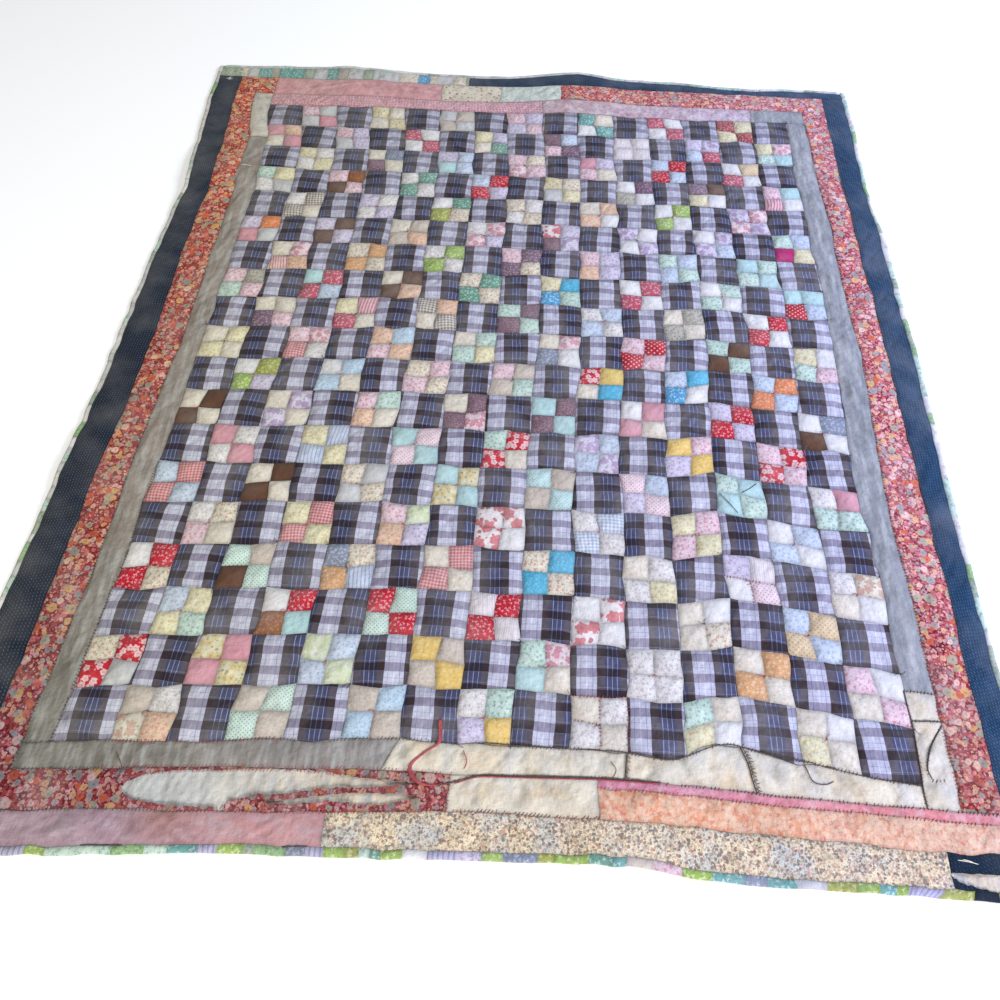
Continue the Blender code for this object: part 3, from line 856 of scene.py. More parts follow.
def flowers(where, per_repeat, size, petals, ragged=0.25):
    """Scattered flowers: the shares of petal and of eye, and three random numbers for each flower."""
    inputs = {"Vector": where, "Scale": per_repeat, "Randomness": 0.8}
    cells = add_node("TexVoronoi", inputs, voronoi_dimensions="2D")
    ends = {0: dim(where, per_repeat), 1: cells.outputs["Position"]}
    away = add_node("VectorMath", ends, operation="SUBTRACT").outputs[0]
    chances = [part_of(cells.outputs["Color"], axis) for axis in (0, 1, 2)]
    angle = reckon("ARCTAN2", part_of(away, 1), part_of(away, 0))
    turns = reckon("MULTIPLY", angle, float(petals))
    turned = reckon("MULTIPLY_ADD", chances[2], 6.0, turns)
    edge = reckon("MULTIPLY_ADD", reckon("SINE", turned), ragged * size, size)
    petal = spread(reckon("SUBTRACT", edge, cells.outputs["Distance"]), -0.03, 0.03, 0.0, 1.0)
    eye_share = spread(cells.outputs["Distance"], 0.25 * size, 0.4 * size, 1.0, 0.0)
    return petal, eye_share, chances


def jostled(where, per_metre, reach):
    """Places pushed about at random, by up to a reach, so that a print on them is uneven."""
    push = add_node("TexNoise", {"Vector": where, "Scale": per_metre, "Detail": 1.0})
    sway = {0: push.outputs["Color"], 1: (2 * reach, 2 * reach, 0.0), 2: where}
    return add_node("VectorMath", sway, operation="MULTIPLY_ADD").outputs[0]


def strewn(where, ground, colour, strength, *flower):
    """A ground strewn with flowers of one colour, which are given as flowers() takes them."""
    petal = reckon("MULTIPLY", flowers(where, *flower)[0], strength)
    return lay_over(petal, ground, colour)


def blossoms_colour(cloth, spot):
    """Five-petalled flowers close together, with small leaves between."""
    cloth = jostled(cloth, 3.0, 0.12)
    petal, centre, chances = flowers(cloth, 1.0, 0.37, 5, 0.14)
    leaf, pip, more = flowers(cloth, 2.3, 0.22, 2, 0.5)
    leaves = reckon("MULTIPLY", leaf, reckon("GREATER_THAN", more[0], 0.35))
    colour = lay_over(leaves, dye(cloth, "ground"), dye(cloth, "accent"))
    colour = lay_over(petal, colour, dye(cloth, "figure"))
    return lay_over(reckon("MULTIPLY", centre, 0.7), colour, dye(cloth, "accent"))


def sprigs_colour(cloth, spot):
    """Tiny scattered sprigs, most of them one colour and a few another."""
    cloth = jostled(cloth, 4.0, 0.15)
    petal, centre, chances = flowers(cloth, 1.0, 0.24, 3, 0.4)
    leaf, pip, more = flowers(cloth, 1.7, 0.16, 2, 0.5)
    colour = lay_over(reckon("MULTIPLY", leaf, 0.8), dye(cloth, "ground"), dye(cloth, "accent"))
    return lay_over(reckon("MULTIPLY", petal, 0.85), colour, dye(cloth, "figure"))


def patch_cotton(name, paint):
    """A cotton whose print follows the scrap's own grain."""
    return cotton(name, paint, shade_and_grime=0.4, map_name="Scrap")


PATCH_COTTONS = {
    "plaid": patch_cotton("plaid_shirting", plaid_colour),
    "plain": patch_cotton("plain_scraps", plain_colour),
    "dots": patch_cotton("dotted_scraps", dots_colour),
    "sprigs": patch_cotton("sprigged_scraps", sprigs_colour),
    "check": patch_cotton("checked_scraps", check_colour),
    "stripes": patch_cotton("striped_scraps", stripes_colour),
    "blossoms": patch_cotton("flowered_scraps", blossoms_colour),
}

# The scraps, by the way they are printed. Each line has a name, the millimetres after which the
# print repeats, and the sRGB colours of its ground and of its one or two kinds of figures. A plain
# scrap has faint streaks instead.
SCRAP_TABLE = {
    "plain": """
white 10  238 236 234  222 222 226
pale_grey 10  210 210 210  196 196 200
plain_pink 10  222 158 170  232 186 192
magenta 10  190 30 110  206 70 136
yellow 10  238 208 122  246 226 150
aqua 10  188 222 222  206 230 230
brown 10  102 70 52  124 90 70
navy 10  34 44 62  60 72 92
""",
    "sprigs": """
white_sprig 11  236 232 228  196 176 186  176 190 180
cream 14  234 226 210  222 200 178  214 212 190
cream_sprig 12  234 226 206  200 128 110  150 160 120
pale_blue 11  208 220 234  150 172 206  182 190 214
sky_sprig 8  200 222 238  140 180 216  226 236 242
pale_lavender 12  220 212 230  172 142 186  170 180 200
pale_pink 12  238 210 216  206 122 144  180 170 180
pale_mint 11  208 230 218  120 170 148  190 200 160
pale_yellow 12  236 230 194  214 184 122  196 184 140
peach 12  238 202 174  222 140 110  240 226 206
rose 10  200 90 110  240 208 212  150 60 80
brick 9  176 80 84  226 190 180  120 60 60
plum 9  128 98 118  196 174 192  94 68 86
plum_speckle 7  122 100 112  196 120 134  220 210 214
red_dots 9  200 28 50  240 196 200  232 120 130
orange 10  234 136 84  246 206 160  200 90 50
tan_orange 10  224 172 124  240 214 176  190 130 90
gold_flower 11  242 206 120  250 226 160  230 172 90
lime 11  162 190 96  226 236 190  90 140 60
olive 11  172 178 88  226 226 170  110 120 50
sea_green 10  118 166 146  214 232 220  60 110 96
teal 10  118 176 170  214 236 232  50 120 116
cyan 9  88 186 220  130 212 236  50 160 206
sky_blue 10  94 172 216  220 236 244  50 120 180
slate 9  140 150 170  206 210 220  100 110 130
rust 9  150 96 62  190 132 88  118 72 46
tan 8  212 200 186  196 178 164  224 214 204
grey_print 9  192 188 174  118 114 96  220 214 200
sage_sprig 11  176 190 172  120 150 130  210 200 150
green_sprig 9  158 196 140  96 146 110  220 230 190
""",
    "blossoms": """
cream_flower 22  234 226 206  214 158 140  150 160 130
lilac_flower 21  222 214 230  178 140 190  140 170 150
pink_flower 20  240 218 222  214 120 142  150 176 150
yellow_flower 22  232 224 190  228 204 136  160 150 110
red_flower 17  204 40 56  246 226 226  232 150 150
pale_lime 24  226 232 204  212 224 174  196 206 216
rose_flower 34  238 230 228  214 70 84  178 42 60
""",
    "dots": """
red_polka 13  200 30 52  244 236 232
gold_dots 10  228 208 172  208 140 62
green_dots 8  216 236 224  58 140 110
mint_dots 8  206 230 228  104 186 186
pink_dots 9  242 224 228  214 104 136
""",
    "check": """
red_check 7  232 190 188  188 34 56
blue_check 8  236 238 242  140 168 206
dark_check 8  226 216 204  50 44 46
""",
    "stripes": """
white_grid 9  240 236 234  226 206 212  214 196 214
red_stripe 7  240 226 218  200 52 66
rose_stripe 8  232 190 196  196 92 112  240 226 226
blue_stripe 8  214 222 236  150 168 206  190 196 216
lilac_stripe 9  196 192 212  140 136 182  170 180 200
""",
}
Scrap = namedtuple("Scrap", "kind ground figure accent repeat")


def read_scrap(kind, line):
    """The name of a scrap and what its line in the table says."""
    name, repeat, *levels = line.split()
    ground, *marks = np.reshape([int(level) for level in levels], (-1, 3)).tolist()
    return name, Scrap(kind, ground, ground if kind == "plain" else marks[0], marks[-1], int(repeat))


SCRAPS = dict(
    read_scrap(kind, line) for kind, lines in SCRAP_TABLE.items() for line in lines.strip().splitlines()
)
PALE_SCRAPS = (
    "cream cream_sprig white_sprig pale_pink pale_grey pale_mint cream pale_lavender white_sprig tan"
    " pale_pink pale_yellow cream_sprig pale_grey",
    "white pale_mint pale_blue pale_lavender white_sprig pale_mint white pale_pink pale_blue white_grid"
    " lilac_flower cream white_sprig pale_mint",
)

# The four-patches, row by row from the head and from left to right. Two names are the scraps of
# the two diagonals, and four are the head's left and right and the foot's left and right. Those
# that are dealt come from the pale scraps, warmer ones at the left.
CHART = """
pale_pink pale_grey pale_grey plain_pink, yellow_flower cream, dealt, dealt, teal cream white teal,
rose white, brick pale_yellow;
plain_pink peach cream plain_pink, pale_pink pale_lavender pale_grey pale_lavender, rose white,
pale_yellow pale_lavender cream sea_green, plum_speckle pale_blue pale_pink plum, dealt,
pale_lavender lilac_flower pale_blue rose, pale_yellow pink_flower pale_mint aqua;
dealt, cream slate plum_speckle cream, pale_lavender pale_blue aqua pale_blue, pale_pink cream_sprig
pink_flower pale_pink, plain_pink pale_lavender pale_pink cream, pale_blue red_dots, white gold_dots
rose white;
pale_mint pale_yellow white_sprig pale_grey, pale_pink rust brown pale_pink, white_sprig sea_green,
pale_blue red_dots red_dots pale_lavender, yellow_flower cream_sprig pale_grey pale_yellow, white
plum grey_print white, plum brown pale_yellow white, pale_pink aqua rose_stripe white;
white_sprig dark_check dark_check cream, dealt, white sea_green olive cream_sprig, cream_sprig
white_sprig, cream peach peach white, white lime, lilac_flower pink_flower;
pale_lavender orange plain_pink pale_grey, pale_lavender brown, cream tan tan peach, white_sprig
pink_flower pink_flower pale_lavender, rose_flower pale_lavender plum_speckle lilac_flower, dealt,
white lilac_flower lilac_flower pale_blue, pale_mint pale_blue magenta pale_yellow;
cream pink_flower red_stripe peach, cream_sprig tan_orange, white_sprig lime, pale_pink plum plum
cream_sprig, pale_pink pale_lavender peach pale_lavender, pale_mint pale_blue, aqua pale_mint;
pale_pink grey_print pale_mint pale_pink, aqua rose rose pale_blue, cream brown brown peach,
cream_sprig sea_green, pale_yellow cyan sky_blue pale_mint, white rose, white pale_mint, aqua aqua
red_polka pale_blue;
cream cream plum pale_pink, pale_yellow rose_stripe rose cream, dark_check peach cream dark_check,
pale_mint plum_speckle, dealt, cream grey_print, white red_dots;
cream pale_yellow, pale_pink pink_flower red_check white_sprig, peach sky_sprig pale_pink peach,
cream pale_mint pale_mint pale_yellow, cream pink_flower slate white, pale_pink red_polka, pale_mint
brown, pale_yellow white pale_mint pale_pink;
white olive lime pale_lavender, white sky_sprig sky_sprig cream, dealt, pale_pink tan tan pale_mint,
red_flower yellow cream cyan, pale_blue cyan sky_blue white, pale_blue orange;
cream brown, cream lilac_flower, pale_pink pale_mint peach cream, cream plum_speckle plum_speckle
pink_flower, aqua plum_speckle, white plain_pink plain_pink cream, pale_lavender red_dots, white
slate brown white;
plain_pink white_sprig, pale_yellow blue_stripe, aqua pink_dots, pale_mint red_flower red_flower
cream, dealt, gold_flower pale_pink pale_lavender gold_flower, pale_pink red_flower;
pale_blue red_check, cream brown, dealt, aqua yellow_flower, mint_dots tan, pink_dots pale_blue
pale_lavender pink_dots, pale_mint aqua, white_sprig plain_pink pale_mint pale_mint;
white_sprig cream_sprig pale_pink cream, pale_yellow red_check, pale_pink pale_lime peach
pale_lavender, rose_flower rose_flower rose_flower white, white_sprig blue_check, pale_yellow
pale_pink, white pale_blue;
white red_dots red_dots cream_sprig, green_dots tan brown green_dots, slate cream_sprig tan_orange
blue_stripe, cream red_check, cream_sprig cyan, cream white_sprig white_sprig pale_yellow,
pale_lavender white_grid white pink_dots, white_sprig cream_flower cream white;
pale_blue pale_yellow pale_yellow pale_mint, white red_dots rust aqua, red_dots green_dots,
white_grid red_dots, white rose_flower rose_flower white, cream white cream cream_sprig, pale_blue
gold_dots;
cream_sprig red_flower red_flower pale_grey, yellow_flower plain_pink, pale_lime pale_blue,
gold_flower tan, pale_mint pink_flower aqua cream, white_sprig white_sprig, cream tan_orange,
pale_pink white cream pale_pink;
tan white_sprig cream_flower peach, tan green_dots, tan sky_sprig, white_sprig pale_mint
pale_lavender gold_flower, cream white_sprig, pale_mint cream pale_yellow white, cream white
pale_yellow cream
"""

WASHED_OUT = 0.25
DRAWN_ASTRAY = 1.4 * MILLIMETRE
PATCH_STEPS = np.array([0, 0.04, 0.1, 0.18, 0.28, 0.385, 0.5, 0.615, 0.72, 0.82, 0.9, 0.96])
PATCH_FULLNESS = 5.2 * MILLIMETRE
PLAID_FULLNESS = 1.15 * PATCH_FULLNESS
BLOCK_SIZE = 0.104
TIED_SHARE = 0.6
TIE_DEPTH = 1.6 * MILLIMETRE
TIE_REACH = 7 * MILLIMETRE
HEM_LIFT = 1.8 * MILLIMETRE
FIRST_LIFTED_COLUMN = 6
ROUNDED_CORNER = 11 * MILLIMETRE


def patch_stations(first, last):
    """Stations over whole blocks, two patches to a block, closest together by the seams."""
    halves = np.arange(2 * (last - first))[:, None]
    return np.append((first + (halves + PATCH_STEPS) / 2).ravel(), last)


def gap(metres, marks, seams_apart):
    """How far each station is from the nearest seam, with one seam in so many lines."""
    turns = marks / seams_apart
    on_seam = np.isclose(turns, np.round(turns))
    return np.abs(metres[:, None] - metres[on_seam]).min(axis=1)


def scraps_of(row, column):
    """The four scraps of a block, at the foot's left and right and then at the head's."""
    from_head = BLOCK_ROWS - 1 - row
    if (from_head + column) % 2 == 0:
        return ["plaid"] * 4
    names = CHART.split(";")[from_head].split(",")[column // 2].split()
    if names == ["dealt"]:
        pale = PALE_SCRAPS[column * 2 // BLOCK_COLUMNS].split()
        names = [pale[int(chance(column, row, seed) * len(pale))] for seed in (31, 32)]
    if len(names) == 2:
        names = [names[0], names[1], names[1], names[0]]
    return [names[2], names[3], names[0], names[1]]


def washed(scrap, dye_name):
    """One dye of a scrap, its figures grown fainter in the wash."""
    ground, own = np.array(linear(*scrap.ground)), np.array(linear(*getattr(scrap, dye_name)))
    return own + WASHED_OUT * (ground - own)


def scrap_map(cut, low, high, scrap, seed):
    """The print's own coordinates over some faces of the grid, turned a little and offset."""
    i, j = np.meshgrid(range(low[0], high[0]), range(low[1], high[1]), indexing="ij")
    i, j = i[..., None] + CORNER_ACROSS, j[..., None] + CORNER_ALONG
    x, y = cut.x[i, j], cut.y[i, j]
    x = x - x.mean() + DRAWN_ASTRAY * ripple(x, y, 0.03, 0.03, 43)
    y = y - y.mean() + DRAWN_ASTRAY * ripple(x, y, 0.03, 0.03, 44)
    turn = (chance(*low, seed) - 0.5) * 2 * (SHIRTING_TURN if scrap is None else math.radians(8))
    over = np.stack([x * math.cos(turn) - y * math.sin(turn), x * math.sin(turn) + y * math.cos(turn)], -1)
    if scrap is not None:
        over /= scrap.repeat * MILLIMETRE
    return over + np.array([chance(*low, seed + 1), chance(*low, seed + 2)]) * (1 if scrap is None else 10)


strip_v = patch_stations(course(0), course(BLOCK_ROWS))
for column in range(BLOCK_COLUMNS):
    strip_u = patch_stations(block(column), block(column + 1))
    cut = cut_cloth(*np.meshgrid(strip_u, strip_v, indexing="ij"), block_knots)
    plaid = (np.floor(cut.u - block(0)) - np.floor(cut.v - course(0))) % 2 == 0
    whole_across, half_across = (gap(cut.across, cut.u[:, 0], apart)[:, None] for apart in (1, 0.5))
    whole_along, half_along = (gap(cut.along, cut.v[0], apart)[None] for apart in (1, 0.5))
    across = np.where(plaid, whole_across, half_across)
    along = np.where(plaid, whole_along, half_along)
    fullness = PATCH_FULLNESS * (0.75 + 0.5 * chance(np.floor(2 * cut.u), np.floor(2 * cut.v), 41))
    plaid_plump = puff(across, along, 0.013) * PLAID_FULLNESS
    plump = np.where(plaid, plaid_plump, puff(across, along, 0.009) * fullness)
    middle = np.hypot((cut.u % 1 - 0.5) * BLOCK_SIZE, (cut.v % 1 - 0.5) * BLOCK_SIZE)
    tied = np.where(plaid, 0.0, chance(np.floor(cut.u), np.floor(cut.v), 42) < TIED_SHARE)
    tie = TIE_DEPTH * tied * np.exp(-((middle / TIE_REACH) ** 2))
    rise = plump + pucker(cut.x, cut.y, across, along) * puff(across, along, 0.003)
    rise += crumple(cut.x, cut.y) * puff(across, along, 0.006) - tie * puff(across, along, 0.002)
    rise += HEM_LIFT * np.exp(-cut.along / 0.012) * (column >= FIRST_LIFTED_COLUMN)
    name = f"patchwork_strip_{column + 1:02d}"
    # Nearer the seams at the corners, so that the painted seam shade widens there and rounds the patches.
    to_seam = np.minimum(across, along) * (1 - np.exp(-np.hypot(across, along) / ROUNDED_CORNER))
    sewn = sew_on(name, "patchwork_centre", cut, to_seam, rise, PATCH_COTTONS.values())
    shape = cut.x.shape[0] - 1, cut.x.shape[1] - 1
    scrap_uv = np.zeros(shape + (4, 2))
    kinds = np.zeros(shape, int)
    dyes = {name: np.ones(shape + (4, 4)) for name in ("ground", "figure", "accent")}
    steps = len(PATCH_STEPS)
    for row in range(BLOCK_ROWS):
        names = scraps_of(row, column)
        if names[0] == "plaid":
            low, high = (0, 2 * row * steps), (2 * steps, 2 * (row + 1) * steps)
            scrap_uv[:, low[1] : high[1]] = scrap_map(cut, low, high, None, column)
            continue
        for corner, scrap_name in enumerate(names):
            low = corner % 2 * steps, (2 * row + corner // 2) * steps
            high = low[0] + steps, low[1] + steps
            scrap = SCRAPS[scrap_name]
            patch = np.s_[low[0] : high[0], low[1] : high[1]]
            scrap_uv[patch] = scrap_map(cut, low, high, scrap, column)
            kinds[patch] = list(PATCH_COTTONS).index(scrap.kind)
            for dye_name, values in dyes.items():
                values[patch] = washed(scrap, dye_name)
    print_on(sewn, "Scrap", scrap_uv)
    for dye_name, values in dyes.items():
        print_on(sewn, dye_name, values)
    faces = np.pad(kinds, 1, mode="edge")[sewn.kept]
    sewn.piece.data.polygons.foreach_set("material_index", faces.astype(np.int32))

# ------------------------------------------------------------------------------------------
# Grey border. Strips of grey chambray, torn to width and sewn round the patchwork. They lie
# flatter than the patches, and draw into gathers along their seams.

BORDER_PITCH = 5.5 * MILLIMETRE
BORDER_FULLNESS = 1.9 * MILLIMETRE
DRAWN_WRINKLES = 1.0 * MILLIMETRE

Strip = namedtuple("Strip", "name left right foot head")

# Pinched pleats in the borders, given as the folds are.
PLEATS = (
    Fold(-59.5, -100.5, 66, 10, 1.8, 0.3),
    Fold(-56.0, -100.0, 112, 11, 2.0, 0.35),
    Fold(-53.0, -100.2, 80, 9, 1.6, -0.25),
    Fold(-44.0, -99.5, 98, 8, 1.6, 0.25),
    Fold(-31.0, -98.5, 75, 9, 1.8, 0.25),
    Fold(-75.5, 68.0, 60, 13, 2.2, 0.35),
    Fold(-76.5, 52.0, 66, 14, 2.4, 0.4),
    Fold(-76.0, 35.0, 72, 16, 2.2, 0.35),
    Fold(-77.0, 5.0, 84, 18, 2.2, 0.3),
    Fold(-78.0, -32.0, 80, 20, 2.4, 0.35),
    Fold(-78.5, -70.0, 96, 18, 2.2, 0.3),
    Fold(81.0, 60.0, 104, 18, 2.4, 0.35),
    Fold(81.0, 28.0, 84, 16, 2.2, 0.3),
    Fold(80.5, -8.0, 98, 20, 2.4, 0.4),
    Fold(80.5, -46.0, 88, 18, 2.2, 0.3),
    Fold(-70.0, -114.0, 20, 18, 2.4, 0.3),
    Fold(-50.0, -112.0, 150, 14, 2.0, 0.3),
    Fold(-34.0, -110.5, 30, 12, 2.0, 0.3),
    Fold(-60.0, 105.5, 12, 26, 2.4, 0.3),
    Fold(-34.0, 105.5, 172, 22, 2.2, 0.3),
)


def tuck(marks):
    """Stations with one more just inside each end, where the cloth turns down."""
    inner = 0.35 * marks[1] + 0.65 * marks[0], 0.35 * marks[-2] + 0.65 * marks[-1]
    return np.sort(np.append(marks, inner))


def strip_grid(strip, pitch=BORDER_PITCH):
    """The lattice stations of a strip, as two grids."""
    u = tuck(stations(strip.left, strip.right, pitch, 0))
    v = tuck(stations(strip.foot, strip.head, pitch, 1))
    return np.meshgrid(u, v, indexing="ij")


def edge_gaps(cut):
    """How far each place is from the nearest side, and from the nearest end."""
    across = np.minimum(cut.across, cut.across[-1] - cut.across)[:, None]
    along = np.minimum(cut.along, cut.along[-1] - cut.along)[None]
    return across + 0 * cut.x, along + 0 * cut.x


def soft_rise(cut, across, along, fullness=BORDER_FULLNESS, drawn=DRAWN_WRINKLES):
    """The height of a plain strip above its seams: puffed, gathered and wrinkled."""
    spacing = (0.022, 0.08) if cut.across[-1] > cut.along[-1] else (0.08, 0.022)
    drawn = drawn * ripple(cut.x, cut.y, *spacing, 26) + crumple(cut.x, cut.y)
    gathers = pucker(cut.x, cut.y, across, along) * puff(across, along, 0.003)
    drawn += lift(cut.x, cut.y, PLEATS)
    return fullness * puff(across, along, 0.012) + gathers + drawn * puff(across, along, 0.006)


def sew_strip(strip, cotton_cloth, fullness=BORDER_FULLNESS, drawn=DRAWN_WRINKLES):
    """A plain strip of the top, between its seams."""
    cut = cut_cloth(*strip_grid(strip))
    across, along = edge_gaps(cut)
    rise = soft_rise(cut, across, along, fullness, drawn)
    to_seam = np.minimum(across, along)
    return sew_on("quilt_" + strip.name, strip.name, cut, to_seam, rise, [cotton_cloth])


def grey_colour(cloth, spot):
    """Heathered grey, warmer at the left and bluer at the right in a painted cast of the light, darker at
    the foot's left corner, bleached in streaks.
    """
    # Warm at the left and cool at the right: a painted cast of the light.
    grey = across_quilt(spot, (166, 151, 139), (160, 165, 172))
    grey = clouded(spot, grey, (132, 127, 122), (700.0, 160.0, 100.0), 2.0, 0.35, 0.65, 0.3)
    from_corner = reckon("ADD", part_of(spot, 0), part_of(spot, 1))
    grey = lay_over(spread(from_corner, -1.8, -1.15, 0.8, 0.0), grey, (112, 112, 104))
    worn = across_quilt(spot, (122, 116, 108), (120, 132, 132))
    grey = clouded(spot, grey, worn, (120.0, 9.0, 20.0), 3.0, 0.48, 0.7, 0.6)
    return clouded(spot, grey, (196, 197, 194), (70.0, 12.0, 20.0), 4.0, 0.45, 0.72, 0.7)


chambray = cotton("grey_cotton", grey_colour)
for strip in (
    Strip("grey_border_left", LEFT_GREY, BLOCKS_LEFT, BLOCKS_FOOT, course(17)),
    Strip("grey_border_right", BLOCKS_RIGHT, RIGHT_GREY, course(2), BLOCKS_HEAD),
    Strip("grey_border_foot", LEFT_GREY, block(6), FOOT_PANELS, BLOCKS_FOOT),
    Strip("grey_corner_head", block(14), RIGHT_GREY, BLOCKS_HEAD, HEAD_BAND),
):
    sew_strip(strip, chambray)

# ------------------------------------------------------------------------------------------
# Cream patches and panels. Odd lengths of the backing's unbleached muslin, let in by hand
# where the borders wore through. They hang loose between their seams and are stained.

PANEL_FULLNESS = 2.8 * MILLIMETRE
PANEL_WRINKLES = 2.4 * MILLIMETRE
for strip in (
    Strip("cream_patch_left", LEFT_GREY, BLOCKS_LEFT, course(17), HEAD_BAND),
    Strip("cream_patch_right_high", BLOCKS_RIGHT, RIGHT_GREY, course(1), course(2)),
    Strip("cream_patch_right_low", BLOCKS_RIGHT, RIGHT_GREY, FOOT_PANELS, course(1)),
    Strip("cream_panel_left", block(6), block(10), FOOT_PANELS, BLOCKS_FOOT),
    Strip("cream_panel_middle", block(10), block(12), FOOT_PANELS, BLOCKS_FOOT),
    Strip("cream_panel_right", block(12), BLOCKS_RIGHT, FOOT_PANELS, BLOCKS_FOOT),
    Strip("cream_panel_low", block(7), block(9), FOOT_BAND, FOOT_PANELS),
):
    sew_strip(strip, muslin, PANEL_FULLNESS, PANEL_WRINKLES)

# ------------------------------------------------------------------------------------------
# Red calico border. Red cotton closely printed with small flowers. Its foot strip has worn
# through in a long pointed tear, whose raw edges curl up over the batting.

SMALL_FLOWERS = (
    (0.0, (246, 200, 194)),
    (0.26, (234, 138, 140)),
    (0.52, (200, 80, 88)),
    (0.7, (188, 188, 194)),
    (0.8, (248, 194, 158)),
)
LARGE_FLOWERS = (
    (0.0, (244, 198, 136)),
    (0.22, (172, 178, 174)),
    (0.42, (232, 118, 82)),
    (0.62, (252, 220, 206)),
    (0.8, (194, 192, 168)),
)


def calico_colour(cloth, spot):
    """Crimson, more orange towards the head at the left, crowded with small and large flowers, under a
    painted cast of the light and darker at the foot.
    """
    to_head = spread(part_of(spot, 1), -0.4, 1.0, 0.0, 1.0)
    red = lay_over(to_head, (150, 24, 42), (178, 66, 52))
    pinker = lay_over(to_head, (146, 26, 48), (158, 62, 78))
    coral = across_quilt(spot, (196, 82, 72), (226, 134, 144))
    where = jostled(spot, 140.0, 2.8 * MILLIMETRE)
    colour = across_quilt(spot, red, pinker)
    colour = clouded(where, colour, coral, (165.0, 165.0, 60.0), 2.0, 0.45, 0.54, 0.8)
    pits = (84, 18, 30)
    colour = clouded(where, colour, pits, (230.0, 230.0, 60.0), 1.0, 0.56, 0.62, 0.65)
    for per_metre, size, petals, fewest, tints in (
        (96.0, 0.36, 5, 0.1, SMALL_FLOWERS),
        (190.0, 0.32, 3, 0.35, SMALL_FLOWERS),
        (47.0, 0.29, 6, 0.52, LARGE_FLOWERS),
        (58.0, 0.26, 5, 0.62, LARGE_FLOWERS),
    ):
        petal, eye_share, chances = flowers(where, per_metre, size, petals, 0.6)
        petal = reckon("MULTIPLY", petal, reckon("GREATER_THAN", chances[1], fewest))
        colour = lay_over(petal, colour, picked(chances[0], tints))
        eye = reckon("MULTIPLY", reckon("MULTIPLY", petal, eye_share), 0.4)
        colour = lay_over(eye, colour, red)
    # A painted cast of the light: warm at the left, cool at the right and darker at the head's left; and
    # darker again at the foot.
    light_cast = across_quilt(spot, (250, 230, 202), (252, 246, 254))
    head_light_cast = across_quilt(spot, (226, 218, 210), (252, 244, 244))
    foot_tint = across_quilt(spot, (194, 188, 206), (222, 206, 184))
    light_cast = lay_over(to_head, head_light_cast, light_cast)
    return times(colour, turning(spot, 1, -0.95, -0.55, foot_tint, light_cast))


calico = cotton("red_calico", calico_colour)
for strip in (
    Strip("red_border_left", LEFT_RED, LEFT_GREY, FOOT_PANELS, HEAD_BAND),
    Strip("red_border_right", RIGHT_GREY, RIGHT_RED, FOOT_PANELS, HEAD_BAND),
    Strip("red_border_head", block(9), RIGHT_RED, HEAD_BAND, HEAD_BORDER),
    Strip("red_corner_head", LEFT_RED, BLOCKS_LEFT, HEAD_BAND, HEAD_BORDER),
):
    sew_strip(strip, calico)

# Where the cloth is torn away, in centimetres: the gap's lower and upper edges, at places across.
Gap = namedtuple("Gap", "x low high")
LONG_TEAR = (
    Gap(-60.6, -106.5, -106.4),
    Gap(-59.8, -107.4, -105.2),
    Gap(-57.0, -108.3, -103.9),
    Gap(-51.5, -108.7, -102.8),
    Gap(-47.0, -108.6, -102.4),
    Gap(-43.7, -108.3, -102.2),
    Gap(-43.4, -109.4, -102.1),
    Gap(-42.2, -109.4, -101.9),
    Gap(-41.8, -107.3, -101.8),
    Gap(-36.0, -105.7, -101.5),
    Gap(-32.4, -105.7, -101.4),
    Gap(-28.8, -104.8, -101.2),
    Gap(-25.0, -104.0, -101.4),
    Gap(-19.0, -103.6, -102.0),
    Gap(-13.0, -102.9, -102.1),
    Gap(-9.5, -102.5, -102.4),
)
LOWER_SLIT = (
    Gap(-37.0, -107.3, -107.2),
    Gap(-31.0, -107.1, -106.4),
    Gap(-24.6, -106.2, -105.1),
    Gap(-20.6, -106.3, -104.6),
    Gap(-15.5, -106.4, -104.4),
    Gap(-12.0, -105.4, -104.2),
    Gap(-9.0, -104.6, -104.5),
)
TORN_FINE = 3.2 * MILLIMETRE
CURL = 1.7 * MILLIMETRE
CURL_REACH = 4 * MILLIMETRE


def into_gap(gaps, x, y):
    """How far inside a gap each place is, in metres, less than nothing outside it, and the way out."""
    x, y = x + outline_middle[0], y + outline_middle[1]
    across, low, high = np.array(gaps).T * CENTIMETRE
    above, below = y - np.interp(x, across, low), np.interp(x, across, high) - y
    frayed = 1.5 * MILLIMETRE * ripple(x, y, 0.006, 0.02, 52)
    inside = np.minimum(np.minimum(above, below) + frayed, np.minimum(x - across[0], across[-1] - x))
    return inside, np.where(above < below, -1.0, 1.0)


def sew_torn_strip(strip, cotton_cloth, gaps, pitch=TORN_FINE):
    """A strip with gaps torn in it, whose raw edges curl up."""
    cut = cut_cloth(*strip_grid(strip, pitch))
    across, along = edge_gaps(cut)
    torn, into = False, np.full(cut.x.shape, -1.0)
    for gap in gaps:
        inside, way_out = into_gap(gap, cut.x, cut.y)
        torn |= into_gap(gap, corner_means(cut.x), corner_means(cut.y))[0] > 0
        onto_edge = 0.9 * inside * way_out * (along > pitch)
        cut.y[...] += np.where(abs(inside) < 0.7 * pitch, onto_edge, 0.0)
        into = np.maximum(into, inside)
    rise = soft_rise(cut, across, along)
    curled = CURL * np.exp(-((into / CURL_REACH) ** 2)) * (0.5 + 0.5 * ripple(cut.x, cut.y, 0.02, 0.02, 51))
    rise = np.maximum(rise + curled * puff(across, along, 0.004), 0.0)
    # The torn edges count as seams, so that painted shade outlines them.
    to_seam = np.minimum(np.minimum(across, along), abs(into))
    return sew_on("quilt_" + strip.name, strip.name, cut, to_seam, rise, [cotton_cloth], torn)


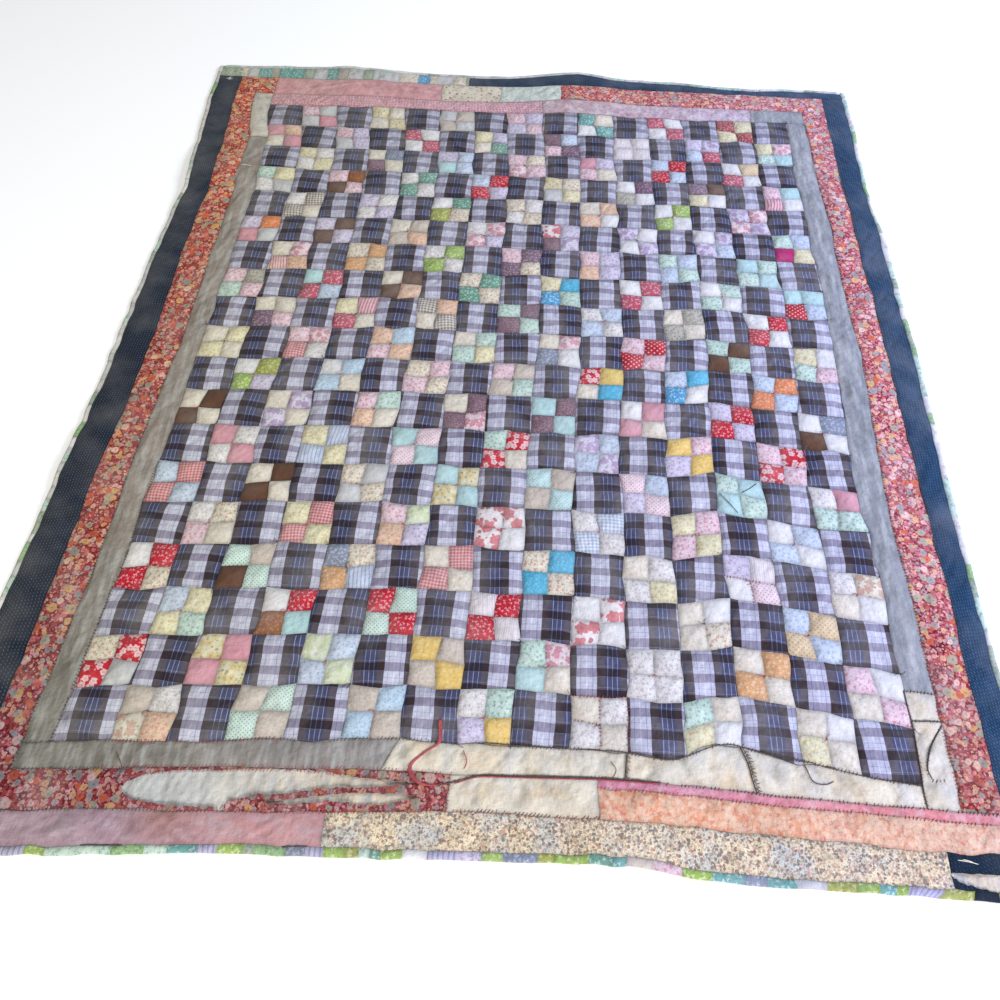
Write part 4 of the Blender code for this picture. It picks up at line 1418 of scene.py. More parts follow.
def corner_means(values):
    """The mean of each face's four corners."""
    return (values[:-1, :-1] + values[1:, :-1] + values[:-1, 1:] + values[1:, 1:]) / 4


foot_strip = Strip("red_border_foot", LEFT_RED, block(7), FOOT_BAND, FOOT_PANELS)
sew_torn_strip(foot_strip, calico, (LONG_TEAR, LOWER_SLIT))

# ------------------------------------------------------------------------------------------
# Navy border. Dark blue cotton with fine broken pinstripes along it, faded to a brighter blue
# at the right. Its foot corner has a slit seam that gapes over the batting.


def navy_colour(cloth, spot):
    """Navy with a slanting twill and rows of short pale dashes, six millimetres apart."""
    row = reckon("DIVIDE", part_of(cloth, 0), 6 * MILLIMETRE)
    stripe = reckon("COMPARE", reckon("FRACT", row), 0.5, 0.09)
    step = reckon("DIVIDE", part_of(cloth, 1), 7 * MILLIMETRE)
    slant = reckon("FRACT", reckon("MULTIPLY_ADD", row, 0.8, step))
    dash = reckon("LESS_THAN", slant, 0.5)
    navy = across_quilt(spot, (19, 30, 50), (12, 59, 92))
    faded = across_quilt(spot, (32, 45, 67), (26, 77, 111))
    navy = clouded(spot, navy, faded, (16.0, 5.0, 10.0), 4.0, 0.4, 0.75, 0.35)
    navy = dim(navy, spread(slant, 0.35, 0.65, 1.2, 0.72))
    marks = reckon("MULTIPLY", reckon("MULTIPLY", stripe, dash), 0.4)
    return lay_over(marks, navy, (130, 150, 180))


navy = cotton("navy_stripe", navy_colour, fading=0.1)
for strip in (
    Strip("navy_border_left", LEFT_NAVY, LEFT_RED, FOOT_BAND, HEAD_BORDER),
    Strip("navy_border_right", RIGHT_RED, RIGHT_NAVY, FOOT_BAND, HEAD_BORDER),
    Strip("navy_strip_head", block(6), RIGHT_NAVY, HEAD_BORDER, HEAD_BINDING),
):
    sew_strip(strip, navy)

GAPING_SLIT = (
    Gap(80, -111.5, -111),
    Gap(81.5, -112.5, -111),
    Gap(83.5, -113, -111),
    Gap(87, -113.5, -111),
    Gap(91, -113.5, -110.5),
    Gap(94.5, -113.5, -110),
    Gap(95.5, -112.5, -110.5),
)


def unfaded_colour(cloth, spot):
    """The same cotton where it never faded, almost black."""
    return dim(navy_colour(cloth, spot), 0.4)


corner_strip = Strip("navy_corner_foot", BLOCKS_RIGHT, RIGHT_NAVY, FOOT_BINDING, FOOT_BAND)
unfaded_navy = cotton("unfaded_navy", unfaded_colour, fading=0.04)
sew_torn_strip(corner_strip, unfaded_navy, (GAPING_SLIT,))

# ------------------------------------------------------------------------------------------
# Odd pieces at the head. A plain pink band, a cream and a pale green scrap, a faded pink check
# and a lilac band, pieced end to end where the red and grey ran short.


def pink_colour(cloth, spot):
    """Plain dusty pink, rubbed paler along its wrinkles."""
    pink, rubbed = (220, 162, 164), (232, 192, 192)
    return clouded(spot, pink, rubbed, (30.0, 60.0, 20.0), 4.0, 0.45, 0.7, 0.5)


def rust_sprig_colour(cloth, spot):
    """Cream with a few rust sprigs."""
    return strewn(cloth, (226, 217, 196), (180, 116, 78), 0.8, 60.0, 0.16, 4, 0.5)


def pale_green_colour(cloth, spot):
    """Whitish green with faint darker sprigs."""
    return strewn(cloth, (216, 224, 212), (150, 178, 156), 0.5, 80.0, 0.2, 3, 0.5)


def barred(cloth, ground, bar_colour, repeat, width, strength):
    """A ground with bars along it and across it, whose width is a share of their repeat."""
    for axis in (0, 1):
        turn = turn_of(part_of(cloth, axis), repeat)
        bar = reckon("MULTIPLY", reckon("LESS_THAN", turn, width), strength)
        ground = lay_over(bar, ground, bar_colour)
    return ground


def pink_check_colour(cloth, spot):
    """A fine pink check with white pin dots, lilac towards the right."""
    pink = across_quilt(spot, (214, 142, 150), (200, 152, 168))
    pink = barred(cloth, pink, (240, 214, 218), 9 * MILLIMETRE, 0.3, 0.35)
    return strewn(cloth, pink, (244, 230, 232), 0.7, 110.0, 0.2, 4)


RUST_STAIN = (-0.52, -1.085, 0.0)


def lilac_colour(cloth, spot):
    """Plain lilac pink with paler rubbed streaks, peachier at its right, and one rusty stain."""
    at_foot = spread(part_of(spot, 1), -0.9, 0.9, 1.0, 0.0)
    at_right = spread(part_of(spot, 0), -0.62, -0.38, 0.0, 0.7)
    turned = reckon("MULTIPLY", at_right, at_foot)
    plain = lay_over(turned, (178, 148, 164), (216, 156, 150))
    rubbed = (202, 182, 192)
    plain = clouded(spot, plain, rubbed, (24.0, 70.0, 20.0), 4.0, 0.45, 0.7, 0.55)
    stain = add_node("VectorMath", {0: spot, 1: RUST_STAIN}, operation="DISTANCE")
    away = stain.outputs["Value"]
    return lay_over(spread(away, 0.02, 0.08, 0.6, 0.0), plain, (164, 112, 98))


def pale_lilac_colour(cloth, spot):
    """Washed-out pink at its left and lilac at its right, with blurred flowers."""
    ground = turning(spot, 0, 0.15, 0.6, (206, 176, 178), (206, 184, 202))
    pale = (222, 212, 214)
    ground = clouded(spot, ground, pale, (40.0, 40.0, 20.0), 4.0, 0.42, 0.62, 0.8)
    where = jostled(cloth, 150.0, 3.0 * MILLIMETRE)
    return strewn(where, ground, (184, 136, 158), 0.5, 75.0, 0.3, 5, 0.6)


lilac = cotton("lilac_cotton", lilac_colour)
CREAM_HEAD = Strip("cream_piece_head", block(5), block(7), HEAD_BAND, HEAD_BORDER)
GREEN_HEAD = Strip("green_piece_head", block(7), block(9), HEAD_BAND, HEAD_BORDER)
PINK_HEAD = Strip("pink_band_head", BLOCKS_LEFT, block(5), HEAD_BAND, HEAD_BORDER)
CHECK_HEAD = Strip("pink_check_head", BLOCKS_LEFT, block(8), BLOCKS_HEAD, HEAD_BAND)
HEAD_PIECES = (
    (PINK_HEAD, "plain_pink", pink_colour),
    (CREAM_HEAD, "cream_muslin", rust_sprig_colour),
    (GREEN_HEAD, "pale_green", pale_green_colour),
    (CHECK_HEAD, "pink_check", pink_check_colour),
)
for strip, slot, paint in HEAD_PIECES:
    sew_strip(strip, cotton(strip.name, paint))
LILAC_HEAD = Strip("lilac_band_head", block(8), block(14), BLOCKS_HEAD, HEAD_BAND)
sew_strip(LILAC_HEAD, cotton("lilac_band_head", pale_lilac_colour))

# ------------------------------------------------------------------------------------------
# Odd pieces at the foot. A narrow rose strip, a peach print, a lilac strip and a long strip of
# cream print, closely sprigged, sewn across below the tear.


def rose_colour(cloth, spot):
    """Rose with darker dashes, rubbed paler in clouds."""
    rose = turning(spot, 0, 0.3, 0.7, (220, 146, 166), (236, 150, 150))
    rubbed = (236, 200, 200)
    rose = clouded(spot, rose, rubbed, (60.0, 40.0, 20.0), 4.0, 0.45, 0.66, 0.5)
    return strewn(cloth, rose, (196, 100, 120), 0.4, 70.0, 0.28, 2, 0.5)


def peach_colour(cloth, spot):
    """Peach with a faint check and cream spots."""
    peach = (241, 192, 156)
    peach = barred(cloth, peach, (222, 132, 104), 14 * MILLIMETRE, 0.4, 0.16)
    blush, pinks = (230, 144, 100), (212, 118, 106)
    peach = clouded(spot, peach, blush, (45.0, 30.0, 20.0), 4.0, 0.4, 0.68, 0.7)
    peach = turning(spot, 0, 0.45, 0.85, peach, (237, 203, 175), 0.5)
    peach = clouded(spot, peach, pinks, (150.0, 110.0, 20.0), 4.0, 0.5, 0.66, 0.7)
    where = jostled(cloth, 150.0, 5.0 * MILLIMETRE)
    return strewn(where, peach, (244, 220, 190), 0.5, 120.0, 0.36, 4, 0.9)


SPECKLES = (
    (0.0, (142, 104, 90)),
    (0.3, (116, 112, 116)),
    (0.54, (212, 162, 136)),
    (0.72, (124, 116, 104)),
    (0.88, (204, 186, 148)),
)


def speckled_colour(cloth, spot):
    """Cream crowded with rust, slate and peach sprigs."""
    where = jostled(spot, 420.0, 2.4 * MILLIMETRE)
    petal, centre, tints = flowers(where, 190.0, 0.26, 3, 1.3)
    leaf, pip, more = flowers(where, 340.0, 0.3, 2, 1.2)
    cream, greyer = (250, 230, 191), (216, 220, 212)
    ground = clouded(spot, cream, greyer, (13.0, 13.0, 13.0), 3.0, 0.46, 0.64, 0.9)
    colour = lay_over(reckon("MULTIPLY", leaf, 0.6), ground, picked(more[0], SPECKLES))
    return lay_over(reckon("MULTIPLY", petal, 0.8), colour, picked(tints[0], SPECKLES))


ROSE_FOOT = Strip("rose_strip_foot", block(9), RIGHT_RED, TEAR_HIGH, FOOT_PANELS)
PEACH_FOOT = Strip("peach_strip_foot", block(9), RIGHT_RED, FOOT_BAND, TEAR_HIGH)
SPECKLED_FOOT = Strip("speckled_strip_foot", block(5), BLOCKS_RIGHT, FOOT_BINDING, FOOT_BAND)
LILAC_FOOT = Strip("lilac_strip_foot", LEFT_NAVY, block(5), FOOT_BINDING, FOOT_BAND)
FOOT_PIECES = (
    (ROSE_FOOT, "rose_cotton", rose_colour),
    (PEACH_FOOT, "peach_print", peach_colour),
    (SPECKLED_FOOT, "speckled_print", speckled_colour),
)
for strip, slot, paint in FOOT_PIECES:
    sew_strip(strip, cotton(strip.name, paint))
sew_strip(LILAC_FOOT, lilac)

# ------------------------------------------------------------------------------------------
# Pieced binding, and the wide band of the same scraps inside it at the head. Short lengths of
# teal, lime, lavender, mint and blue print, joined end to end and folded over the raw edge.

BINDING_PITCH = 6 * MILLIMETRE
BINDING_PROFILE = (
    (0.0, 0.9),
    (0.12, 1.05),
    (0.35, 1.2),
    (0.62, 1.2),
    (0.85, 1.0),
    (0.96, 0.75),
    (1.0, 0.45),
    (0.95, 0.12),
    (0.8, 0.02),
    (0.45, 0.02),
    (0.1, 0.02),
)
BINDING_SCRAPS = {
    "left": (
        "pale_mint pale_grey white green_sprig pale_grey pale_mint white pale_grey sage_sprig"
        " white_sprig"
    ),
    "right": "pale_mint white pale_mint white_sprig green_sprig white pale_mint white sage_sprig pale_mint",
    "foot": (
        "teal lime lilac_stripe olive lilac_stripe lime pale_mint pale_mint green_sprig pale_mint teal"
        " lilac_stripe lime sage_sprig green_sprig slate lilac_stripe lime olive pale_mint sea_green lime"
        " white lilac_stripe pale_lavender lime slate olive lime sea_green teal tan pale_pink lime teal"
        " slate teal pale_grey olive lime"
    ),
    "head": "pale_grey pale_mint white pale_grey sage_sprig white pale_mint white_sprig pale_grey",
    "band": (
        "cream sage_sprig pale_grey teal pale_mint lime grey_print sky_blue cream_sprig pale_grey"
        " sage_sprig"
    ),
}
SHORTEST_SCRAP, LONGEST_SCRAP = 18 * MILLIMETRE, 62 * MILLIMETRE


def joined_scraps(length, names, seed, in_order=False):
    """Where the scraps along a strip begin and end, and which each one is."""
    joins, chosen = [0.0], []
    while joins[-1] < length:
        draw = chance(len(joins), 3, seed)
        joins.append(joins[-1] + SHORTEST_SCRAP + (LONGEST_SCRAP - SHORTEST_SCRAP) * draw)
        drawn = len(chosen) if in_order else int(chance(len(joins), 7, seed) * len(names))
        chosen.append(names[drawn % len(names)])
    return np.array(joins), chosen


def scrap_dyes(places, joins, chosen):
    """For each place along a strip, the number of its cotton and its three dyes."""
    which = np.clip(np.searchsorted(joins, places) - 1, 0, len(chosen) - 1)
    kinds = np.array([list(PATCH_COTTONS).index(SCRAPS[name].kind) for name in chosen])[which]
    repeats = np.array([SCRAPS[name].repeat * MILLIMETRE for name in chosen])[which]
    dyes = {}
    for dye_name in ("ground", "figure", "accent"):
        dyes[dye_name] = np.array([washed(SCRAPS[name], dye_name) for name in chosen])[which]
    return kinds, repeats, dyes


def bind(name, side, axis, inner, outer, first, last):
    """A strip of binding: from its seam on the top, round the raw edge, and back underneath."""
    marks = stations(first, last, BINDING_PITCH, axis)
    share, height = np.array(BINDING_PROFILE).T
    other = np.broadcast_to(inner + share * (outer - inner), (len(marks), len(share)))
    own = np.broadcast_to(marks[:, None], other.shape)
    x, y = place(other, own) if axis else place(own, other)
    along = running(np.hypot(np.diff(x[:, 0]), np.diff(y[:, 0])))
    joins, chosen = joined_scraps(along[-1], BINDING_SCRAPS[side].split(), len(side), side == "foot")
    if side == "foot":
        chosen[-4:] = "olive navy olive navy".split()
    to_join = abs(along[:, None] - joins).min(axis=1)[:, None] + 0 * x
    ends = np.minimum(along, along[-1] - along)[:, None]
    thickness = (batting_top(x, y) - lift(x, y) + SEAM_HEIGHT) * (1 - 0.5 * np.exp(-ends / 0.003))
    thickness *= 1 + 0.12 * ripple(x, y, 0.012, 0.012, 61) - 0.16 * np.exp(-to_join / 0.003)
    z = lift(x, y) + np.maximum(height * thickness, 0.0)
    order = np.arange(x.size).reshape(x.shape)
    faces = quads_of(order).reshape(-1, 4)
    points = np.stack([x, y, z], -1).reshape(-1, 3)
    one, two, three = points[faces[0, :3]]
    if np.cross(two - one, three - one)[2] < 0:
        faces = faces[:, ::-1]
    piece = make_piece("quilt_" + name, points, faces)
    around = running(np.hypot(np.hypot(np.diff(x[0]), np.diff(y[0])), np.diff(z[0])))
    middles = (along[1:] + along[:-1]) / 2
    kinds, repeats, dyes = scrap_dyes(middles, joins, chosen)
    flip = np.s_[..., ::-1, :] if (faces[0] != order[:2, :2].ravel()[[0, 2, 3, 1]]).any() else np.s_[...]
    scrap_uv = at_corners(along, around) / repeats[:, None, None, None]
    put_corners(piece.data, "Scrap", scrap_uv[flip].reshape(-1, 4, 2))
    put_corners(piece.data, "OFBake", in_lanes(along, around)[flip].reshape(-1, 4, 2))
    for dye_name, values in dyes.items():
        spread_out = np.broadcast_to(values[:, None, None], (*scrap_uv.shape[:3], 4))
        put_corners(piece.data, dye_name, spread_out.reshape(-1, 4, 4))
    # Painted shade and some grime at the scraps' joins and along the binding's seam on the top.
    seam = np.exp(-np.minimum(to_join, 0.5 * MILLIMETRE + share * BINDING_WIDTH) / SHADE_AND_GRIME_REACH)
    put_points(piece.data, "seam", seam)
    for cotton_cloth in PATCH_COTTONS.values():
        piece.data.materials.append(cotton_cloth)
    piece.data.polygons.foreach_set("material_index", np.repeat(kinds, len(share) - 1).astype(np.int32))
    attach(piece, "root")
    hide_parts(name)


bind("binding_left", "left", 1, LEFT_NAVY, LEFT_EDGE, FOOT_EDGE, HEAD_EDGE)
bind("binding_right", "right", 1, RIGHT_NAVY, RIGHT_EDGE, FOOT_EDGE, HEAD_EDGE)
bind("binding_foot", "foot", 0, FOOT_BINDING, FOOT_EDGE, LEFT_NAVY, RIGHT_NAVY)
bind("binding_head", "head", 0, HEAD_BINDING, HEAD_EDGE, LEFT_NAVY, RIGHT_NAVY)

BAND = Strip("pieced_band_head", LEFT_NAVY, block(6), HEAD_BORDER, HEAD_BINDING)
cut = cut_cloth(*strip_grid(BAND))
across, along = edge_gaps(cut)
joins, chosen = joined_scraps(cut.across[-1], BINDING_SCRAPS["band"].split(), 71)
to_join = abs(cut.across[:, None] - joins).min(axis=1)[:, None] + 0 * cut.x
rise = soft_rise(cut, np.minimum(across, to_join), along)
to_seam = np.minimum(np.minimum(across, along), to_join)
cottons = PATCH_COTTONS.values()
band = sew_on("quilt_" + BAND.name, BAND.name, cut, to_seam, rise, cottons)
kinds, repeats, dyes = scrap_dyes((cut.across[1:] + cut.across[:-1]) / 2, joins, chosen)
band_uv = at_corners(cut.across, cut.along) / repeats[:, None, None, None]
print_on(band, "Scrap", band_uv)
for dye_name, values in dyes.items():
    print_on(band, dye_name, np.broadcast_to(values[:, None, None], (*band_uv.shape[:3], 4)))
faces = np.pad(np.broadcast_to(kinds[:, None], band_uv.shape[:2]), 1, mode="edge")[band.kept]
band.piece.data.polygons.foreach_set("material_index", faces.astype(np.int32))

# ------------------------------------------------------------------------------------------
# Stitches, ties and loose threads. Doubled cotton thread, dark red and black, in the knots that
# tie the layers together and in the long slanting stitches of the mends. Some has pulled free
# and lies in loops on the top. Some thick dark lines along seams are painted seam shadow as well
# as thread.

THREAD = 0.55 * MILLIMETRE
THREAD_SIDES = 5
STITCH_LENGTH = 6.5 * MILLIMETRE
OUT_OF_REACH = 0.1
CORNER_TIES = {0: 0.55, BLOCK_COLUMNS: 0.85}
INNER_TIES, CENTRE_TIES, TAILED_TIES, RED_TIES = 0.4, 0.62, 0.5, 0.65

corners, polygons = [], []
for piece in bpy.context.scene.objects:
    if not piece.name.startswith(("quilt_", "patchwork_strip")) or piece.type != "MESH":
        continue
    polygons += [[len(corners) + corner for corner in polygon.vertices] for polygon in piece.data.polygons]
    corners += [vertex.co for vertex in piece.data.vertices]
whole_top = BVHTree.FromPolygons(corners, polygons)


def on_cloth(x, y):
    """The height of the cloth at each place."""
    down = Vector((0.0, 0.0, -1.0))
    hits = [whole_top.ray_cast(Vector((a, b, OUT_OF_REACH)), down)[0] for a, b in zip(x, y)]
    return np.array([hit.z if hit else 0.0 for hit in hits])


def spun(path, radius):
    """The points and faces of a thread along a path, narrower at its two closed ends."""
    ahead = np.gradient(path, axis=0)
    side = np.cross(ahead, (0.0, 0.0, 1.0)) + (1e-9, 0.0, 0.0)
    side /= np.linalg.norm(side, axis=1, keepdims=True)
    over = np.cross(side, ahead)
    over /= np.linalg.norm(over, axis=1, keepdims=True)
    girth = np.full((len(path), 1, 1), radius)
    girth[[0, -1]] *= 0.5
    angle = (np.arange(THREAD_SIDES) * 2 * math.pi / THREAD_SIDES)[None, :, None]
    rings = path[:, None] + girth * (np.cos(angle) * side[:, None] + np.sin(angle) * over[:, None])
    order = np.arange(len(path) * THREAD_SIDES).reshape(len(path), THREAD_SIDES)
    beside = np.roll(order, -1, axis=1)
    walls = np.stack([order[:-1], order[1:], beside[1:], beside[:-1]], -1).reshape(-1, 4)
    return rings.reshape(-1, 3), [*walls.tolist(), order[0].tolist(), order[-1, ::-1].tolist()]


def smooth_line(places, apart):
    """Places evenly spaced along a smooth curve through these, given in centimetres."""
    marks = np.array(places) * CENTIMETRE - outline_middle
    padded = np.vstack([2 * marks[0] - marks[1], marks, 2 * marks[-1] - marks[-2]])
    fine = []
    for before, start, end, after in zip(padded, padded[1:], padded[2:], padded[3:]):
        t = np.linspace(0, 1, 24, endpoint=False)[:, None]
        bent = (2 * before - 5 * start + 4 * end - after) * t**2
        bent = bent + (3 * start - before - 3 * end + after) * t**3
        fine.append(start + ((end - before) * t + bent) / 2)
    fine = np.vstack([*fine, marks[-1:]])
    run = running(np.hypot(*np.diff(fine, axis=0).T))
    steps = np.linspace(0, run[-1], max(3, round(run[-1] / apart) + 1))
    return np.stack([np.interp(steps, run, fine[:, axis]) for axis in (0, 1)], -1)


threads = {"red": [], "dark": [], "pale": []}


def lay_thread(shade, places, apart=3 * MILLIMETRE, radius=THREAD, lift_off=0.3):
    """A loose thread that lies along a curve on the cloth, and bridges its hollows; the thick dark ones
    along seams also stand for painted seam shadow.
    """
    line = smooth_line(places, apart)
    height = on_cloth(*line.T)
    bridged = np.convolve(np.pad(height, 2, mode="edge"), np.ones(5) / 5, "valid")
    wave = lift_off * MILLIMETRE * (1 + ripple(line[:, 0], line[:, 1], 0.03, 0.03, 81))
    threads[shade].append((np.column_stack([line, np.maximum(height, bridged) + radius + wave]), radius))


def stitch(shade, start, end, arch, radius=THREAD):
    """One short stitch between two places, its ends sunk in the cloth."""
    share = np.array([0.0, 0.25, 0.75, 1.0])[:, None]
    line = np.array(start) + share * (np.array(end) - start)
    height = on_cloth(*line.T) + np.array([-0.6, 0.7, 0.7, -0.6]) * radius + np.array([0, 1, 1, 0]) * arch
    threads[shade].append((np.column_stack([line, height]), radius))


def overcast(shade, places, seed, apart=STITCH_LENGTH, reach=3.0, missing=0.15, radius=THREAD):
    """Slanting stitches over an edge that runs through these places, some of them gone."""
    line = smooth_line(places, apart)
    ahead = np.gradient(line, axis=0)
    ahead /= np.hypot(*ahead.T)[:, None]
    beside = np.stack([-ahead[:, 1], ahead[:, 0]], -1)
    for k, middle in enumerate(line):
        if chance(k, 1, seed) < missing:
            continue
        half = reach * MILLIMETRE * (0.6 + 0.8 * chance(k, 2, seed))
        slant = ahead[k] * (chance(k, 3, seed) - 0.2) * 1.3 + beside[k]
        stitch(shade, middle - half * slant, middle + half * slant, 0.2 * MILLIMETRE, radius)


def tie(shade, middle, seed, tails=True):
    """A knot of two crossed stitches, with its two cut ends."""
    turn = chance(seed, 1, 91) * math.pi
    for cross in (0.0, math.pi / 2.3):
        reach = (1.6 + 1.2 * chance(seed, cross, 92)) * MILLIMETRE
        arm = reach * np.array([math.cos(turn + cross), math.sin(turn + cross)])
        stitch(shade, middle - arm, middle + arm, 0.5 * MILLIMETRE)
    for end in range(2 if tails else 0):
        heading = turn + 2.2 * end + 1.5 * chance(seed, end, 93)
        length = (5 + 9 * chance(seed, end, 94)) * MILLIMETRE
        share = np.linspace(0, 1, 5)
        bend = heading + (chance(seed, end, 95) - 0.5) * 2.4 * share
        line = middle + length * share[:, None] * np.stack([np.cos(bend), np.sin(bend)], -1)
        rise = THREAD + 0.9 * MILLIMETRE * np.sin(share * math.pi)
        threads[shade].append((np.column_stack([line, on_cloth(*line.T) + rise]), THREAD * 0.8))


for column in range(BLOCK_COLUMNS + 1):
    for row in range(BLOCK_ROWS + 1):
        number = 100 * column + row
        corner = np.array([float(block(column))]), np.array([float(course(row))])
        likely = CORNER_TIES.get(column, INNER_TIES)
        if chance(number, 5, 96) < likely:
            middle = np.stack(place(*corner, block_knots), -1)[0]
            tie("dark", middle, number, chance(number, 6, 96) < TAILED_TIES)
        four_patch = column < BLOCK_COLUMNS and row < BLOCK_ROWS and (column + row) % 2 == 1
        if four_patch and chance(number, 7, 96) < CENTRE_TIES:
            centre = np.array([block(column) + 0.5]), np.array([course(row) + 0.5])
            shade = "red" if chance(number, 8, 96) < RED_TIES else "dark"
            tie(shade, np.stack(place(*centre, block_knots), -1)[0], number + 5000)


def at_lines(*marks):
    """Places in centimetres, each by the lengthwise and the crosswise line that it lies on."""
    return (np.stack(place(*np.array(marks, dtype=float).T), -1) + outline_middle) / CENTIMETRE


# The pulled red yarn hangs out of the seventh block, and then follows the seam below it.
LOOSE_RED = at_lines(
    (block(6.7), course(0.4)),
    (block(6.7), BLOCKS_FOOT),
    (block(6.55), BLOCKS_FOOT - 0.4),
    (block(6.4), FOOT_PANELS + 0.1),
    (block(6.5), TEAR_HIGH - 0.2),
    (block(6.8), TEAR_HIGH - 0.3),
    (block(7.1), TEAR_HIGH + 0.2),
    (block(7.5), FOOT_PANELS),
    (block(8), FOOT_PANELS),
    (block(9), FOOT_PANELS),
    (block(10), FOOT_PANELS),
    (block(10.5), FOOT_PANELS),
)
# The torn side of the cream patch at the foot's right, from the red border inwards.
PATCH_SIDE = at_lines(
    (RIGHT_GREY, course(0.95)),
    (BLOCKS_RIGHT + 0.5, course(0.6)),
    (BLOCKS_RIGHT + 0.2, course(0.3)),
    (BLOCKS_RIGHT + 0.3, course(0.1)),
    (BLOCKS_RIGHT + 0.75, course(0.1)),
)
for aside, radius in ((0.0, 1.4), (0.22, 1.2), (0.42, 1.0)):
    strand = [(x + aside, y + 0.3 * aside) for x, y in LOOSE_RED[:6]]
    lay_thread("red", strand, radius=radius * MILLIMETRE, lift_off=0.5 + aside)
# A thick dark line along the seam below: dark thread, and painted shadow of the cream panel's folded edge.
lay_thread("dark", LOOSE_RED[5:], radius=1.1 * MILLIMETRE)
lay_thread("red", [(x, y - 0.3) for x, y in LOOSE_RED[6:]], radius=0.8 * MILLIMETRE)
overcast("dark", LOOSE_RED[5:], 100, reach=3.2, missing=0.3)
overcast("red", LOOSE_RED[6:], 101, reach=2.6, missing=0.4)


def on_seam(from_column, from_line, to_column, to_line, aside=0.0):
    """Places along a seam of the lattice, in centimetres."""
    steps = 3 + int(abs(to_column - from_column) + abs(to_line - from_line))
    return at_lines(*np.linspace((from_column, from_line), (to_column, to_line), steps)) + aside


# The blocks' foot hem: a dark thread thick enough to carry painted shadow under the hem as well.
BLOCK_HEM = on_seam(block(7) + 0.4, BLOCKS_FOOT, BLOCKS_RIGHT, BLOCKS_FOOT)
lay_thread("dark", BLOCK_HEM, radius=0.8 * MILLIMETRE)
overcast("dark", BLOCK_HEM, 102, reach=3.4)
HEM_END = (
    (block(13), BLOCKS_FOOT),
    (block(13.15), BLOCKS_FOOT - 0.5),
    (block(13.35), BLOCKS_FOOT - 0.55),
    (block(13.5), BLOCKS_FOOT - 0.4),
)
# Thick dark lines along these seams and edges: dark thread, and painted seam shadow.
for radius, places in (
    (1.1, on_seam(BLOCKS_RIGHT, FOOT_PANELS, BLOCKS_RIGHT, course(2))),
    (1.2, on_seam(BLOCKS_RIGHT, course(1), RIGHT_GREY, course(1))),
    (1.1, PATCH_SIDE[:4]),
    (1.3, on_seam(block(12), FOOT_PANELS, block(12), BLOCKS_FOOT, -0.3)),
    (1.1, on_seam(block(10), FOOT_PANELS, block(10), BLOCKS_FOOT, -0.2)),
    (0.8, on_seam(block(12.55), course(5.55), block(12.9), course(5.9))),
    (0.8, on_seam(block(12.05), course(5.45), block(12.4), course(5.05))),
    (0.9, at_lines(*HEM_END)),
):
    lay_thread("dark", places, radius=radius * MILLIMETRE)

